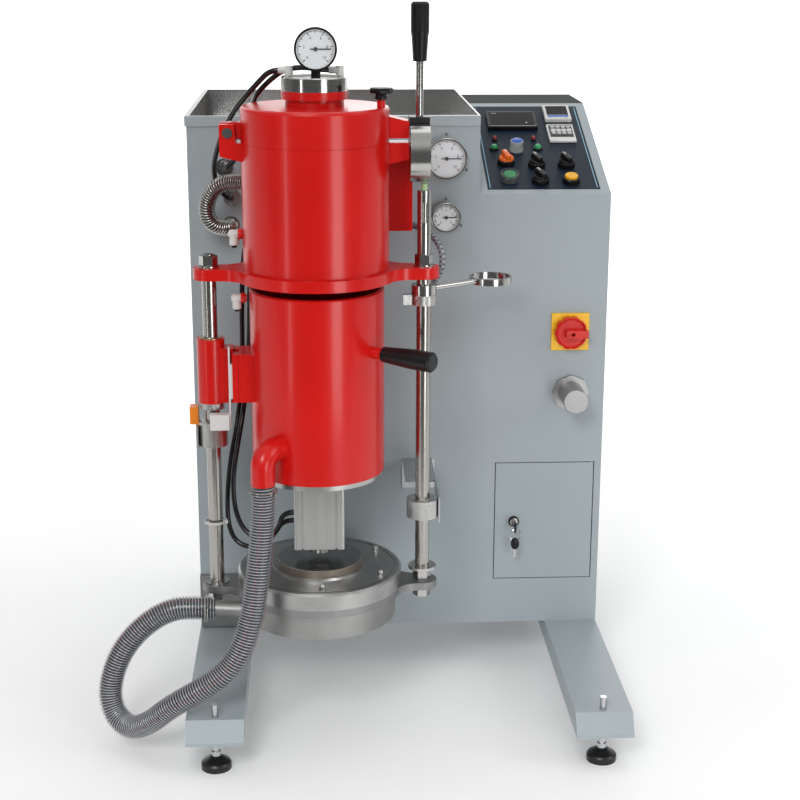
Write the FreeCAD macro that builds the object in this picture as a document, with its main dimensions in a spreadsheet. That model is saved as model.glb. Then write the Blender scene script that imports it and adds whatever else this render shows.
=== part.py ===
import FreeCAD, Part
import math
import os
import re
import Sketcher
from FreeCAD import Placement, Rotation, Vector

# Jewellery vacuum casting machine, in millimetres, Z up.
# The origin is on the floor under the middle of the box that holds the machine, X to the right of
# someone who faces it and Y away from them.

DRIVING = """
cabinet_width 680
cabinet_depth 480
cabinet_height 866
sheet_steel 2
foot_height 85
lip_overhang 2.5

tray_width 467
tray_depth 45
tray_fascia 16
tray_wall 2.5

leg_width 88
leg_reach 369
leg_nose 20
leg_nose_drop 29
leg_drop 34
leg_steel 3
foot_setback 32
rear_foot_setback 40
pad_radius 23
pad_rim 9
pad_height 19
neck_radius 7
stud_radius 5
stud_above_leg 20
stud_clearance 0.4
nut_height 9

door_width 165
door_height 206
door_sill 81
door_side 13
door_pan 14
door_steel 1.5
door_gap 1.5
door_frame 10
door_pin_radius 2
door_pin_inset 3
door_pin_length 6
pin_clearance 0.1
lock_inset 32
lock_up 103
lock_radius 9
lock_stand 5
key_width 22
key_drop 34
key_thick 2

console_run 313
console_slope 20.2
console_frame 15
console_plate_thick 3
console_step 0.5
console_ledge 8
console_drop 10

base_height 110
pot_radius 119
pot_height 38
pot_wall 8
base_plate_thick 12
base_plate_radius 128
cover_height 26
cover_chamfer 3
groove_radius 118
groove_width 2
groove_depth 1.5
boss_radius 74
boss_height 4
wear_radius 66
wear_thick 10
wear_chamfer 1
cover_screw_circle 106
cover_screw_count 6
cover_screw_radius 5.5

tower_inset 205
tower_reach 190
post_pitch 322
post_radius 11
stud_end_radius 8
ear_radius 23
ear_fillet 34
fit_clearance 0.05
washer_radius 19
washer_thick 3
post_nut_radius 14
post_nut_height 15
right_disc_radius 22
right_disc_rise 19
right_disc_thick 4

chamber_clear 162
lower_radius 101.5
lower_wall 6
lower_height 283
lower_floor 10
ring_height 8
ring_inset 3
flange_gap 14
flange_thick 17
flange_radius 118
upper_radius 109
upper_wall 10
upper_height 203
pour_radius 34
seal_radius 96
seal_thick 2.5
seal_proud 1
seal_squeeze_gap 0.3
lid_gap 0.3
lid_height 52
lid_wall 9
lid_edge 5
neck_outer 43
neck_height 10
band_outer 49
band_height 12
sight_height 20
sight_bore 32
sight_glass_thick 6

cylinder_side 78
cylinder_corner 13
cylinder_height 115
slot_width 3
slot_depth 5
rod_radius 12.5
rod_shows 14
rod_inside 80
rod_end_room 15
foot_plate_radius 18
foot_plate_thick 5

sleeve_radius 21
sleeve_height 99
sleeve_rise 269
bush_radius 17
bush_height 9
thrust_height 10
thrust_radius 18
web_thick 30
web_reach 12
web_rise 4
block_height 74
block_rise 5
block_depth 60
block_reach 42
slide_gap 0.4
tongue_width 16
tongue_depth 8
tongue_low 12
tongue_high 18

left_clamp_rise 200
left_clamp_height 38
left_clamp_radius 22
right_collar_rise 79
right_collar_height 29
right_collar_radius 24.5
arm_collar_drop 11
arm_collar_height 15
arm_collar_radius 19
arm_collar_gap 0.4
arm_length 130
arm_swing 33.6
arm_rod_radius 4.5
loop_radius 33
loop_wall 3
loop_height 10

handle_rise 196
handle_turn 37
grip_length 88
grip_butt 15
grip_tip 11.5
handle_stub 20
handle_stub_radius 9

hinge_reach 127
hinge_rise 15
knuckle_radius 10
knuckle_width 20
clevis_thick 10
clevis_drop 44
hinge_pin_radius 5
latch_width 36
latch_reach 28
lid_latch_rise 6
lid_latch_height 32
lug_weld 4
chamber_latch_height 32
latch_slope 8
drum_radius 45.5
drum_width 29
drum_drop 15
drum_reach 138.5
drum_shaft_radius 8
drum_block 6
lever_rod_radius 5.5
lever_rod_length 79
lever_grip_length 84
lever_grip_top 13.5
lever_grip_foot 9.5
lever_grip_cap 10
support_thick 8
support_back 52
support_width 56
support_height 112
tube_radius 10.5
tube_height 96
tip_radius 4.5
tip_height 10

lid_knob_out 100
lid_knob_turn 17
knob_radius 18
knob_height 19
knob_stem_radius 6
knob_stem_height 10

gauge_radius 32.8
gauge_x 413
gauge_z 799
small_gauge_radius 24
small_gauge_z 705
gauge_stand 14
gauge_rim 3
gauge_recess 5
gauge_screw_out 5
gauge_screw_radius 2
gauge_screw_head 1.5
needle_thick 0.8
needle_width 1.6
needle_pin_radius 1.5
lid_gauge_radius 31
lid_gauge_depth 24
lid_gauge_front 25
lid_gauge_lift 39.5
lid_gauge_stem 7

switch_x 620
switch_z 514
switch_plate_side 62
switch_plate_thick 4
switch_knob_radius 27
switch_knob_thick 14
switch_bar_width 13
switch_bar_length 36
switch_bar_height 20
switch_gap 0.5
switch_spindle 7
switch_scallops 10
scallop_radius 6

silencer_x 624
silencer_z 410
silencer_radius 20
silencer_length 62
silencer_nut_flat 57
silencer_nut_thick 7

stay_x 371
stay_width 54
stay_z 298
stay_flange 51
stay_thick 2.5

bulkhead_radius 14
bulkhead_stand 12

metal_hose_radius 12.5
metal_hose_root 10.8
metal_hose_bore 9.3
metal_hose_ribs 44
vacuum_hose_radius 19
air_tube_radius 4
gas_hose_radius 4.5

crucible_radius 38
crucible_wall 8
crucible_height 128
coil_inner 50
coil_outer 62
coil_height 104
coil_turns 8
lining_gap 0.5
cover_board 8
cover_play 3
crucible_rim 12
seat_radius 80
seat_height 22
generator_width 300
generator_depth 260
generator_height 180

bezel_radius 14.5
bezel_height 9
shank_radius 11
shank_length 26
knob_barrel 12.5
knob_rise 20
button_radius 10.5
button_stand 3.5
button_travel 3.5
button_gap 0.5
lamp_radius 8
lamp_dome 6.5
dial_knob_radius 10.5
dial_knob_rise 19

rear_slot_length 220
rear_slot_start 420
rear_slot_pitch 24
rear_slot_height 8
rear_slot_count 8
tray_play 0.5

lamp_bore 4
pilot_radius 4.6
lamp_shank 18
lamp_rim 3
meter_rim 2
meter_stand 9
meter_depth 40
finger_half 4.5
dial_skirt 4

bracket_inset 2
bracket_width 310
bracket_thick 8
bracket_low 5
bracket_height 92
bracket_reach 96
bracket_rib 10
bracket_arm_height 97
bracket_arm_out 62
outlet_radius 13
outlet_bore 9
seal_width 5
lid_seal_radius 104
clevis_left 12
clevis_right 26
coil_foot 12
knob_screw 3
fitting_out 37
fitting_radius 6
fitting_rise 14
fitting_arm 16
fitting_arm_radius 5.2
fitting_back 10
switch_plate_front 15
switch_plate_rear 22
limit_thick 13
limit_depth 20
limit_height 27
stop_lug 12
cylinder_edge 4
strip_rise 33
strip_out 5
strip_width 12
strip_height 127
strip_box 29
strip_box_height 24
strip_box_depth 14
elbow_radius 18
elbow_bore_radius 11
cover_screw_turn 32
generator_left 60
generator_back 120
gas_fitting_turn 70
gas_fitting_reach 27
gas_fitting_radius 5.5

vacuum_hose_rise 196
lid_tube_reach -100
air_tube_rise 300
gas_hose_rise 672
hose_joint_gap 0.2
cut_room 1500
"""

WORKED_OUT = """
face (leg_reach-cabinet_depth)/2
back face+cabinet_depth
left -cabinet_width/2
under foot_height
tower_x left+tower_inset
tower_y face-tower_reach
post_left tower_x-post_pitch/2
post_right tower_x+post_pitch/2
pot_z under+base_height
plate_z pot_z+pot_height
cover_z plate_z+base_plate_thick
cover_top cover_z+cover_height
wear_z cover_top+boss_height
lower_z cover_top+chamber_clear
cylinder_z lower_z-ring_height-cylinder_height
lower_top lower_z+lower_height
flange_z lower_top+flange_gap
flange_top flange_z+flange_thick
seam_z flange_z+upper_height
lid_z seam_z+lid_gap
lid_top lid_z+lid_height
neck_top lid_top+neck_height
band_top neck_top+band_height
sight_top band_top+sight_height
hinge_x tower_x-hinge_reach
hinge_z seam_z+hinge_rise
drum_x tower_x+drum_reach
drum_z seam_z-drum_drop
sleeve_z cover_top+sleeve_rise
console_left left+tray_width
console_high cabinet_height-console_drop
console_low under+console_high-console_run*tan(console_slope)
console_width cabinet_width-tray_width
door_right left+cabinet_width-door_side
door_left door_right-door_width
door_z under+door_sill
vacuum_hose_cut under+vacuum_hose_rise
lid_tube_cut face+lid_tube_reach
air_tube_cut under+air_tube_rise
gas_hose_cut under+gas_hose_rise
arm_z flange_z-arm_collar_drop-arm_collar_height
"""


# Fasteners made beside the pieces that they hold.
PINS = []

KNOB_X = "tower_x+lid_knob_out*cos(lid_knob_turn)"
KNOB_Y = "tower_y-lid_knob_out*sin(lid_knob_turn)"

# Places on the console, from the left end of its lower edge: across, then up the slope.
CONTROLS = {
    "red_pilot_left": ("42", "188"),
    "red_pilot_right": ("108", "188"),
    "green_lamp_left": ("38", "156"),
    "green_lamp_right": ("112", "156"),
    "dial_knob": ("75", "150"),
    "orange_selector": ("53", "104"),
    "selector_rear_left": ("103", "95"),
    "selector_rear_right": ("152", "95"),
    "selector_front": ("103", "40"),
    "green_button": ("53", "47"),
    "yellow_button": ("153", "40"),
}
LAMPS = ("red_pilot_left", "red_pilot_right", "green_lamp_left", "green_lamp_right")
SELECTORS = ("orange_selector", "selector_rear_left", "selector_rear_right", "selector_front")
BUTTONS = ("green_button", "yellow_button")
# Middle of each meter on the console, then its width and depth.
METERS = {
    "display": ("77", "254", "83", "57"),
    "controller": ("159", "280", "42", "50"),
    "counter": ("158", "208", "42", "58"),
}
BULKHEADS = (("61", "786"), ("72", "738"), ("69", "694"))

# Routes, each point from the cabinet's lower left front corner: across, back, up.
OUTLET = [(104, -234, 128.2), (74, -234, 130), (42, -234, 132)]
PORT = [(128, -128, 777), (118, -118, 777.4), (104, -108, 777)]
ELBOW = [(152, -262, 404), (122.5, -301, 404), (122.5, -302, 356.3)]
VACUUM_HOSE = [
    (122.5, -302, 355.9), (122.4, -302.8, 320), (118, -308, 270), (112, -316, 216), (104, -326, 162),
    (88, -336, 110), (60, -342, 70), (20, -340, 43), (-22, -330, 15), (-56, -308, -22),
    (-88, -282, -46), (-114, -262, -36), (-125, -251, -6), (-119, -246, 34), (-99, -241, 76),
    (-64, -236.5, 112), (-26, -234.5, 133), (8, -234.6, 135), (41.2, -234, 132.1),
]
LID_TUBES = [
    [(231.5, -180, 950.3), (216, -180, 950.3), (190, -171, 954), (160, -165, 950), (136, -156, 931),
     (119, -141, 912), (113, -120, 898), (102, -96, 868), (90, -74, 832), (80, -56, 802),
     (61, -36, 786), (61, -12.3, 786)],
    [(157.5, -180, 950.3), (141, -180, 950.3), (124, -168, 933), (104, -150, 911), (86, -129, 889),
     (69, -104, 860), (55, -78, 826), (46, -54, 790), (52, -40, 756), (72, -34, 738),
     (72, -12.3, 738)],
]
AIR_TUBES = [
    [(90, -0.3, 655), (90, -28, 655), (88, -54, 628), (86, -68, 570), (86, -72, 512), (84, -86, 452),
     (77, -106, 396), (66, -128, 344), (60, -144, 292), (60, -154, 246), (70, -162, 218),
     (92, -170, 208), (118, -178, 216), (136, -184, 238), (148, -184, 258), (165.7, -184, 258)],
    [(102, -0.3, 640), (102, -28, 640), (99, -60, 612), (99, -79, 552), (95, -92, 492),
     (90, -108, 434), (80, -130, 378), (70, -150, 324), (71, -162, 276), (82, -172, 244),
     (102, -181, 228), (126, -190, 231), (142, -196, 250), (148, -198, 276), (165.7, -198, 276)],
]
GAS_HOSE = [
    (344, -0.3, 702), (344, -34, 702), (352, -72, 705), (364, -104, 706), (380, -132, 700),
    (394, -150, 684), (398, -156, 662), (392, -152, 640), (381, -148.7, 627), (375.2, -164.6, 627),
]
METAL_HOSE = [
    (103.8, -107.8, 777), (84, -94.2, 776.6), (58, -84, 772), (40, -74, 752), (34, -66, 722),
    (46, -56, 700), (69, -38, 694), (69, -12.3, 694),
]


def cells(text):
    """Reads one name and one rule from each line that has them."""
    return [line.split(None, 1) for line in text.splitlines() if line.strip()]


doc = FreeCAD.newDocument("casting_machine")
sheet = doc.addObject("Spreadsheet::Sheet", "Sizes")
NAMES = set()
WAYS = {
    "up": Rotation(),
    "down": Rotation(Vector(1, 0, 0), 180),
    "right": Rotation(Vector(0, 1, 0), 90),
    "left": Rotation(Vector(0, 1, 0), -90),
    "back": Rotation(Vector(1, 0, 0), -90),
    "front": Rotation(Vector(1, 0, 0), 90),
}
PIECES = []


def fill_sheet():
    """Writes the driving sizes as plain numbers, and the places worked out from them as rules."""
    driving = [(name, rule) for name, rule in cells(DRIVING)]
    worked_out = [(name, "=" + rule) for name, rule in cells(WORKED_OUT)]
    for row, (name, content) in enumerate(driving + worked_out, 1):
        sheet.set("A%d" % row, name)
        sheet.set("B%d" % row, content)
        sheet.setAlias("B%d" % row, name)
        NAMES.add(name)
    doc.recompute()


def size(name):
    """The value of one size."""
    return float(sheet.get(name))


def bind(thing, path, rule):
    """Ties one property of a feature to a rule of sizes."""
    text = re.sub(r"[a-z][a-z_]*", lambda word: "Sizes." + word[0] if word[0] in NAMES else word[0], rule)
    thing.setExpression(path, text)


def put(thing, x, y, z, way="up"):
    """Places a feature by rules, turned so that its own Z axis points the given way."""
    thing.Placement = Placement(Vector(), WAYS[way])
    for axis, rule in zip("xyz", (x, y, z)):
        bind(thing, "Placement.Base." + axis, rule)
    return thing


def on_console(thing, across, up, out="0"):
    """Places a feature on the sloping console, from the left end of its lower edge."""
    thing.Placement = Placement(Vector(), Rotation(Vector(1, 0, 0), size("console_slope")))
    bind(thing, "Placement.Rotation.Angle", "console_slope")
    bind(thing, "Placement.Base.x", "console_left+" + across)
    bind(thing, "Placement.Base.y", "face+(%s)*cos(console_slope)-(%s)*sin(console_slope)" % (up, out))
    bind(thing, "Placement.Base.z", "console_low+(%s)*sin(console_slope)+(%s)*cos(console_slope)" % (up, out))
    return thing


def block(name, x, y, z, dx, dy, dz):
    """A box from its low corner."""
    thing = doc.addObject("Part::Box", name)
    for path, rule in zip(("Length", "Width", "Height"), (dx, dy, dz)):
        bind(thing, path, rule)
    return put(thing, x, y, z)


def rod(name, x, y, z, radius, length, way="up"):
    """A round bar from the middle of its base."""
    thing = doc.addObject("Part::Cylinder", name)
    bind(thing, "Radius", radius)
    bind(thing, "Height", length)
    return put(thing, x, y, z, way)


def prism(name, x, y, z, sides, radius, length, way="up"):
    """A bar with flat sides, such as a nut, from the middle of its base."""
    thing = doc.addObject("Part::Prism", name)
    thing.Polygon = sides
    bind(thing, "Circumradius", radius)
    bind(thing, "Height", length)
    return put(thing, x, y, z, way)


def join(name, *things):
    """Welds features into one."""
    thing = doc.addObject("Part::MultiFuse", name)
    thing.Shapes = list(things)
    return thing


def carve(name, base, *tools):
    """Takes features away from a feature."""
    thing = doc.addObject("Part::Cut", name)
    thing.Base = base
    thing.Tool = tools[0] if len(tools) == 1 else join(name + "_tools", *tools)
    return thing


def group(name, *things):
    """Keeps features together as separate solids."""
    thing = doc.addObject("Part::Compound", name)
    thing.Links = list(things)
    return thing


def rounded(name, base, radius, chosen):
    """Rounds the edges of a feature that the test picks."""
    doc.recompute()
    thing = doc.addObject("Part::Fillet", name)
    thing.Base = base
    edges = enumerate(base.Shape.Edges, 1)
    thing.Edges = [(number, size(radius), size(radius)) for number, edge in edges if chosen(edge)]
    return thing


def upright(edge):
    """True for a straight edge along Z."""
    straight = len(edge.Vertexes) == 2 and edge.Curve.TypeId == "Part::GeomLine"
    return straight and abs(edge.tangentAt(0).z) > 0.99


def outline(body, plane, points):
    """Draws a closed outline on a plane of the body, each corner tied to its two rules."""
    base = [f for f in body.Origin.OriginFeatures if f.Role == plane][0]
    sketch = body.newObject("Sketcher::SketchObject", body.Name + "_outline")
    sketch.AttachmentSupport = [(base, "")]
    sketch.MapMode = "FlatFace"
    numbers = [tuple(rule_value(rule) for rule in point) for point in points]
    for start, end in zip(numbers, numbers[1:] + numbers[:1]):
        line = Part.LineSegment(Vector(start[0], start[1], 0), Vector(end[0], end[1], 0))
        sketch.addGeometry(line, False)
    count = len(points)
    for corner in range(count):
        sketch.addConstraint(Sketcher.Constraint("Coincident", corner, 2, (corner + 1) % count, 1))
    for corner, (point, number) in enumerate(zip(points, numbers)):
        for kind, rule, value in zip(("DistanceX", "DistanceY"), point, number):
            index = sketch.addConstraint(Sketcher.Constraint(kind, -1, 1, corner, 1, value))
            bind(sketch, "Constraints[%d]" % index, rule)
    return sketch


def rule_value(rule):
    """Works one rule out through a spare cell of the sheet."""
    sheet.set("D1", "=" + rule)
    sheet.recompute()
    return float(sheet.get("D1"))


def turned(name, points, x, y, z, way="up"):
    """A piece made on a lathe, from its half outline of radius and height rules."""
    body = doc.addObject("PartDesign::Body", name)
    sketch = outline(body, "XZ_Plane", points)
    turn = body.newObject("PartDesign::Revolution", name + "_turn")
    turn.Profile = sketch
    turn.ReferenceAxis = (sketch, ["V_Axis"])
    turn.Angle = 360
    return put(body, x, y, z, way)


def milled(name, points, length, x, y, z, plane="YZ_Plane"):
    """A piece of one outline, drawn on a plane and padded from it."""
    body = doc.addObject("PartDesign::Body", name)
    sketch = outline(body, plane, points)
    pad = body.newObject("PartDesign::Pad", name + "_pad")
    pad.Profile = sketch
    bind(pad, "Length", length)
    return put(body, x, y, z)


def piece(name, thing):
    """Names a finished sub-part and puts it on the list that is written out."""
    thing.Label = name
    PIECES.append(thing)
    return thing


def made(name, shape):
    """A sub-part whose shape comes from a route."""
    thing = doc.addObject("Part::Feature", name)
    thing.Shape = shape
    return thing


def cabinet():
    """Sheet-steel cabinet: shell, rear panel, tray, sloping console plate."""
    wall = "sheet_steel"
    shell_left = "left+lip_overhang"
    tall = block("shell_tall", shell_left, "face", "under",
                 "tray_width-lip_overhang", "cabinet_depth", "cabinet_height-tray_fascia")
    side = [("0", "0"), ("cabinet_depth", "0"), ("cabinet_depth", "console_high"),
            ("console_run", "console_high"), ("0", "console_high-console_run*tan(console_slope)")]
    low = milled("shell_console", side, "console_width", "console_left", "face", "under")
    outer = join("shell_outer", tall, low)
    tall_room = block("room_tall", shell_left + "+" + wall, "face+" + wall, "under+" + wall,
                      "tray_width-lip_overhang-" + wall, "cabinet_depth", "cabinet_height")
    lid_thick = "console_plate_thick+1"
    room = [("0", "0"), ("cabinet_depth", "0"),
            ("cabinet_depth", "console_high-2*sheet_steel-" + lid_thick),
            ("console_run-sheet_steel", "console_high-2*sheet_steel-" + lid_thick),
            ("0", "console_high-console_run*tan(console_slope)-2*sheet_steel-" + lid_thick)]
    low_room = milled("room_console", room, "console_width-" + wall,
                      "console_left", "face+" + wall, "under+" + wall)
    doorway = block("doorway", "door_left-door_gap", "face-1", "door_z-door_gap",
                    "door_width+2*door_gap", "door_pan+door_frame", "door_height+2*door_gap")
    frame = block("door_frame_block", "door_left-door_gap-door_frame", "face+" + wall,
                  "door_z-door_gap-door_frame", "door_width+2*door_gap+door_frame", "door_pan",
                  "door_height+2*door_gap+2*door_frame")
    pin_x = "door_right-door_pin_inset"
    pin_y = "face+door_pin_inset"
    pin_hole = rod("door_pin_hole", pin_x, pin_y, "door_z-door_pin_length-door_gap",
                   "door_pin_radius+fit_clearance",
                   "door_height+2*door_pin_length+2*door_gap")
    inset = block("console_inset", "0", "0", "0", "console_width-2*console_frame",
                  "console_run/cos(console_slope)-2*console_frame", "console_plate_thick")
    on_console(inset, "console_frame", "console_frame", "console_step-console_plate_thick")
    window = block("console_window", "0", "0", "0", "console_width-2*console_frame-2*console_ledge",
                   "console_run/cos(console_slope)-2*console_frame-2*console_ledge", "shank_length*2")
    on_console(window, "console_frame+console_ledge", "console_frame+console_ledge", "-shank_length")
    shell = carve("shell_hollow", outer, tall_room, low_room)
    shell = join("shell_with_frame", shell, frame)
    shell = carve("cabinet_box", shell, doorway, pin_hole, inset, window)

    cover = block("rear_sheet", shell_left, "back", "under",
                  "cabinet_width-lip_overhang", wall, "cabinet_height-tray_fascia")
    slots = [block("rear_slot_%d" % number, "left+cabinet_width/2-rear_slot_length/2", "back-1",
                   "under+rear_slot_start+%d*rear_slot_pitch" % number,
                   "rear_slot_length", wall + "+2", "rear_slot_height")
             for number in range(int(size("rear_slot_count")))]
    corner = block("rear_corner", "console_left", "back-1", "under+console_high",
                   "console_width", wall + "+2", "cabinet_height")
    piece("cabinet_shell", group("cabinet_shell", shell, carve("rear_panel", cover, corner, *slots)))

    pan = block("tray_pan", "left", "face-lip_overhang", "under+cabinet_height-tray_fascia",
                "tray_width", "cabinet_depth+lip_overhang+sheet_steel", "tray_fascia")
    well = block("tray_well", "left+lip_overhang+sheet_steel+tray_play", "face+sheet_steel+tray_play",
                 "under+cabinet_height-tray_depth",
                 "tray_width-lip_overhang-sheet_steel-2*tray_play",
                 "cabinet_depth-sheet_steel-2*tray_play", "tray_depth")
    hollow = block("tray_hollow", "left+lip_overhang+sheet_steel+tray_play+tray_wall",
                   "face+sheet_steel+tray_play+tray_wall", "under+cabinet_height-tray_depth+tray_wall",
                   "tray_width-lip_overhang-sheet_steel-2*tray_play-2*tray_wall",
                   "cabinet_depth-sheet_steel-2*tray_play-2*tray_wall", "tray_depth")
    piece("top_tray", carve("top_tray", join("tray_solid", pan, well), hollow))


def console():
    """Dark console plate with its meters, lamps, selector knobs, dial knob and push-buttons."""
    plate = block("console_sheet", "0", "0", "0", "console_width-2*console_frame-2*door_gap/3",
                  "console_run/cos(console_slope)-2*console_frame-2*door_gap/3", "console_plate_thick")
    on_console(plate, "console_frame+door_gap/3", "console_frame+door_gap/3",
               "console_step-console_plate_thick")
    holes = []
    for name, (across, up) in CONTROLS.items():
        radius = "lamp_bore" if name in LAMPS else "shank_radius+pin_clearance"
        hole = rod(name + "_hole", "0", "0", "0", radius, "3*console_plate_thick")
        holes.append(on_console(hole, across, up, "console_step-2*console_plate_thick"))
    for name, (across, up, wide, deep) in METERS.items():
        hole = block(name + "_hole", "0", "0", "0", wide, deep, "3*console_plate_thick")
        holes.append(on_console(hole, across + "-(%s)/2" % wide, up + "-(%s)/2" % deep,
                                "console_step-2*console_plate_thick"))
    piece("console_plate", carve("console_plate", plate, *holes))

    meters = []
    for name, (across, up, wide, deep) in METERS.items():
        bezel = block(name + "_bezel", "0", "0", "0", wide + "+2*meter_rim", deep + "+2*meter_rim",
                      "meter_stand")
        on_console(bezel, across + "-(%s)/2-meter_rim" % wide, up + "-(%s)/2-meter_rim" % deep,
                   "console_step")
        case = block(name + "_case", "0", "0", "0", wide + "-2*pin_clearance",
                     deep + "-2*pin_clearance", "meter_depth")
        on_console(case, across + "-(%s)/2+pin_clearance" % wide,
                   up + "-(%s)/2+pin_clearance" % deep, "console_step-meter_depth")
        meters.append(join(name, bezel, case))

    lamps = []
    for name in LAMPS:
        across, up = CONTROLS[name]
        bulb = "lamp_radius" if "green" in name else "pilot_radius"
        dome = turned(name, [("0", "-lamp_shank"), ("lamp_bore-pin_clearance", "-lamp_shank"),
                             ("lamp_bore-pin_clearance", "console_step"), (bulb, "console_step"),
                             (bulb, "console_step+lamp_rim"),
                             (bulb + "*0.8", "console_step+lamp_rim+lamp_dome*0.6"),
                             (bulb + "*0.4", "console_step+lamp_rim+lamp_dome*0.92"),
                             ("0", "console_step+lamp_rim+lamp_dome")], "0", "0", "0")
        lamps.append(on_console(dome, across, up))

    for name in SELECTORS:
        across, up = CONTROLS[name]
        barrel = turned(name + "_barrel",
                        [("0", "-shank_length"), ("shank_radius", "-shank_length"),
                         ("shank_radius", "console_step+button_gap"),
                         ("bezel_radius", "console_step+button_gap"),
                         ("bezel_radius", "console_step+bezel_height"),
                         ("knob_barrel", "console_step+knob_rise"), ("0", "console_step+knob_rise")],
                        "0", "0", "0")
        on_console(barrel, across, up)
        sides = []
        for side in ("left", "right"):
            sign = "-knob_barrel*2-finger_half" if side == "left" else "+finger_half"
            cheek = block(name + "_cheek_" + side, "0", "0", "0", "knob_barrel*2", "knob_barrel*4",
                          "knob_rise")
            on_console(cheek, across + sign, up + "-knob_barrel*2", "console_step+bezel_height")
            sides.append(cheek)
        piece(name, carve(name, barrel, *sides))

    across, up = CONTROLS["dial_knob"]
    dial = turned("dial_knob", [("0", "-shank_length"), ("shank_radius", "-shank_length"),
                                ("shank_radius", "console_step+button_gap"),
                                ("dial_knob_radius+1", "console_step+button_gap"),
                                ("dial_knob_radius+1", "console_step+dial_skirt"),
                                ("dial_knob_radius", "console_step+dial_skirt"),
                                ("dial_knob_radius-0.6", "console_step+dial_knob_rise"),
                                ("0", "console_step+dial_knob_rise")], "0", "0", "0")
    piece("dial_knob", on_console(dial, across, up))

    collars = []
    for name in BUTTONS:
        across, up = CONTROLS[name]
        ring = turned(name + "_collar",
                      [("button_radius+pin_clearance", "console_step"),
                       ("bezel_radius", "console_step"), ("bezel_radius", "console_step+bezel_height"),
                       ("button_radius+pin_clearance", "console_step+bezel_height")], "0", "0", "0")
        collars.append(on_console(ring, across, up))
        cap = turned(name, [("0", "-shank_length"), ("shank_radius-2", "-shank_length"),
                            ("shank_radius-2", "console_step+bezel_height-button_travel-button_gap"),
                            ("button_radius", "console_step+bezel_height-button_travel-button_gap"),
                            ("button_radius", "console_step+bezel_height+button_stand-0.8"),
                            ("button_radius-0.8", "console_step+bezel_height+button_stand"),
                            ("0", "console_step+bezel_height+button_stand")], "0", "0", "0")
        piece(name, on_console(cap, across, up))
    piece("console_fittings", group("console_fittings", *meters, *lamps, *collars))


def legs():
    """Two folded legs with a bent nose, and their levelling feet."""
    nose = "face-leg_reach"
    shape = [("0", "-leg_nose_drop"), ("leg_nose", "0"), ("leg_reach+cabinet_depth", "0"),
             ("leg_reach+cabinet_depth", "-leg_drop"), ("0", "-leg_drop")]
    inside = [("leg_steel", "-leg_nose_drop-leg_steel*0.3"), ("leg_nose+leg_steel*0.6", "-leg_steel"),
              ("leg_reach+cabinet_depth-leg_steel", "-leg_steel"),
              ("leg_reach+cabinet_depth-leg_steel", "-2*leg_drop"), ("leg_steel", "-2*leg_drop")]
    both, pads, studs = [], [], []
    for side, x in (("left", "left"), ("right", "left+cabinet_width-leg_width")):
        rail = milled("leg_rail_" + side, shape, "leg_width", x, nose, "under")
        room = milled("leg_room_" + side, inside, "leg_width-2*leg_steel", x + "+leg_steel", nose, "under")
        holes = []
        for end, y in (("front", nose + "+foot_setback"), ("rear", "back-rear_foot_setback")):
            name = side + "_" + end
            middle = x + "+leg_width/2"
            holes.append(rod("stud_hole_" + name, middle, y, "under-2*leg_steel",
                             "stud_radius+stud_clearance", "3*leg_steel"))
            pads.append(turned("pad_" + name, [("0", "0"), ("pad_radius", "0"), ("pad_radius", "pad_rim"),
                                               ("pad_radius*0.9", "pad_rim+3"),
                                               ("neck_radius+2", "pad_height"), ("0", "pad_height")],
                               middle, y, "0"))
            above = "stud_above_leg" if end == "front" else "-leg_steel/2"
            stud = rod("stud_" + name, middle, y, "pad_height", "stud_radius", "under-pad_height+" + above)
            neck = rod("neck_" + name, middle, y, "pad_height", "neck_radius", "nut_height")
            nut = prism("nut_" + name, middle, y, "under-leg_steel-nut_height", 6,
                        "stud_radius*1.9", "nut_height")
            studs.append(join("foot_stud_" + name, stud, neck, nut))
        both.append(carve("leg_" + side, rail, room, *holes))
    piece("legs", group("legs", *both))
    piece("levelling_feet", group("levelling_feet", *pads, *studs))


def door():
    """Service door, an inset pan on two pins, and its lock with the key."""
    skin = block("door_block", "door_left", "face", "door_z", "door_width", "door_pan", "door_height")
    room = block("door_room", "door_left+door_steel", "face+door_steel", "door_z+door_steel",
                 "door_width-2*door_steel-2*door_pin_inset", "door_pan", "door_height-2*door_steel")
    pin = rod("door_pin", "door_right-door_pin_inset", "face+door_pin_inset",
              "door_z-door_pin_length", "door_pin_radius", "door_height+2*door_pin_length")
    lock_hole = rod("lock_hole", "door_left+lock_inset", "face-1", "door_z+lock_up",
                    "lock_radius-2+pin_clearance", "door_pan", "back")
    panel = carve("door_panel", join("door_solid", carve("door_hollow", skin, room), pin), lock_hole)
    piece("service_door", panel)
    barrel = turned("lock_barrel", [("0", "-door_pan"), ("lock_radius-2", "-door_pan"),
                                    ("lock_radius-2", "0.2"), ("lock_radius", "0.2"),
                                    ("lock_radius", "lock_stand-1"), ("lock_radius-1", "lock_stand"),
                                    ("0", "lock_stand")],
                    "door_left+lock_inset", "face", "door_z+lock_up", "front")
    blade = block("key_blade", "door_left+lock_inset-key_thick/2", "face-lock_stand-key_width",
                  "door_z+lock_up-key_width/4", "key_thick", "key_width+1", "key_width/2")
    bow = rod("key_bow", "door_left+lock_inset-key_thick/2", "face-lock_stand-key_width",
              "door_z+lock_up", "key_width/2", "key_thick", "right")
    ring = doc.addObject("Part::Torus", "key_ring")
    bind(ring, "Radius1", "key_width*0.45")
    bind(ring, "Radius2", "key_thick*0.45")
    put(ring, "door_left+lock_inset", "face-lock_stand-key_width*1.1",
        "door_z+lock_up-key_width*0.75", "back")
    spare = block("spare_key", "door_left+lock_inset-key_width/3", "face-lock_stand-key_width*1.1-key_thick",
                  "door_z+lock_up-key_width*0.95-key_drop", "key_width/1.5", "key_thick", "key_drop")
    piece("lock_and_key", join("lock_and_key", barrel, blade, bow, ring, spare))


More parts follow.
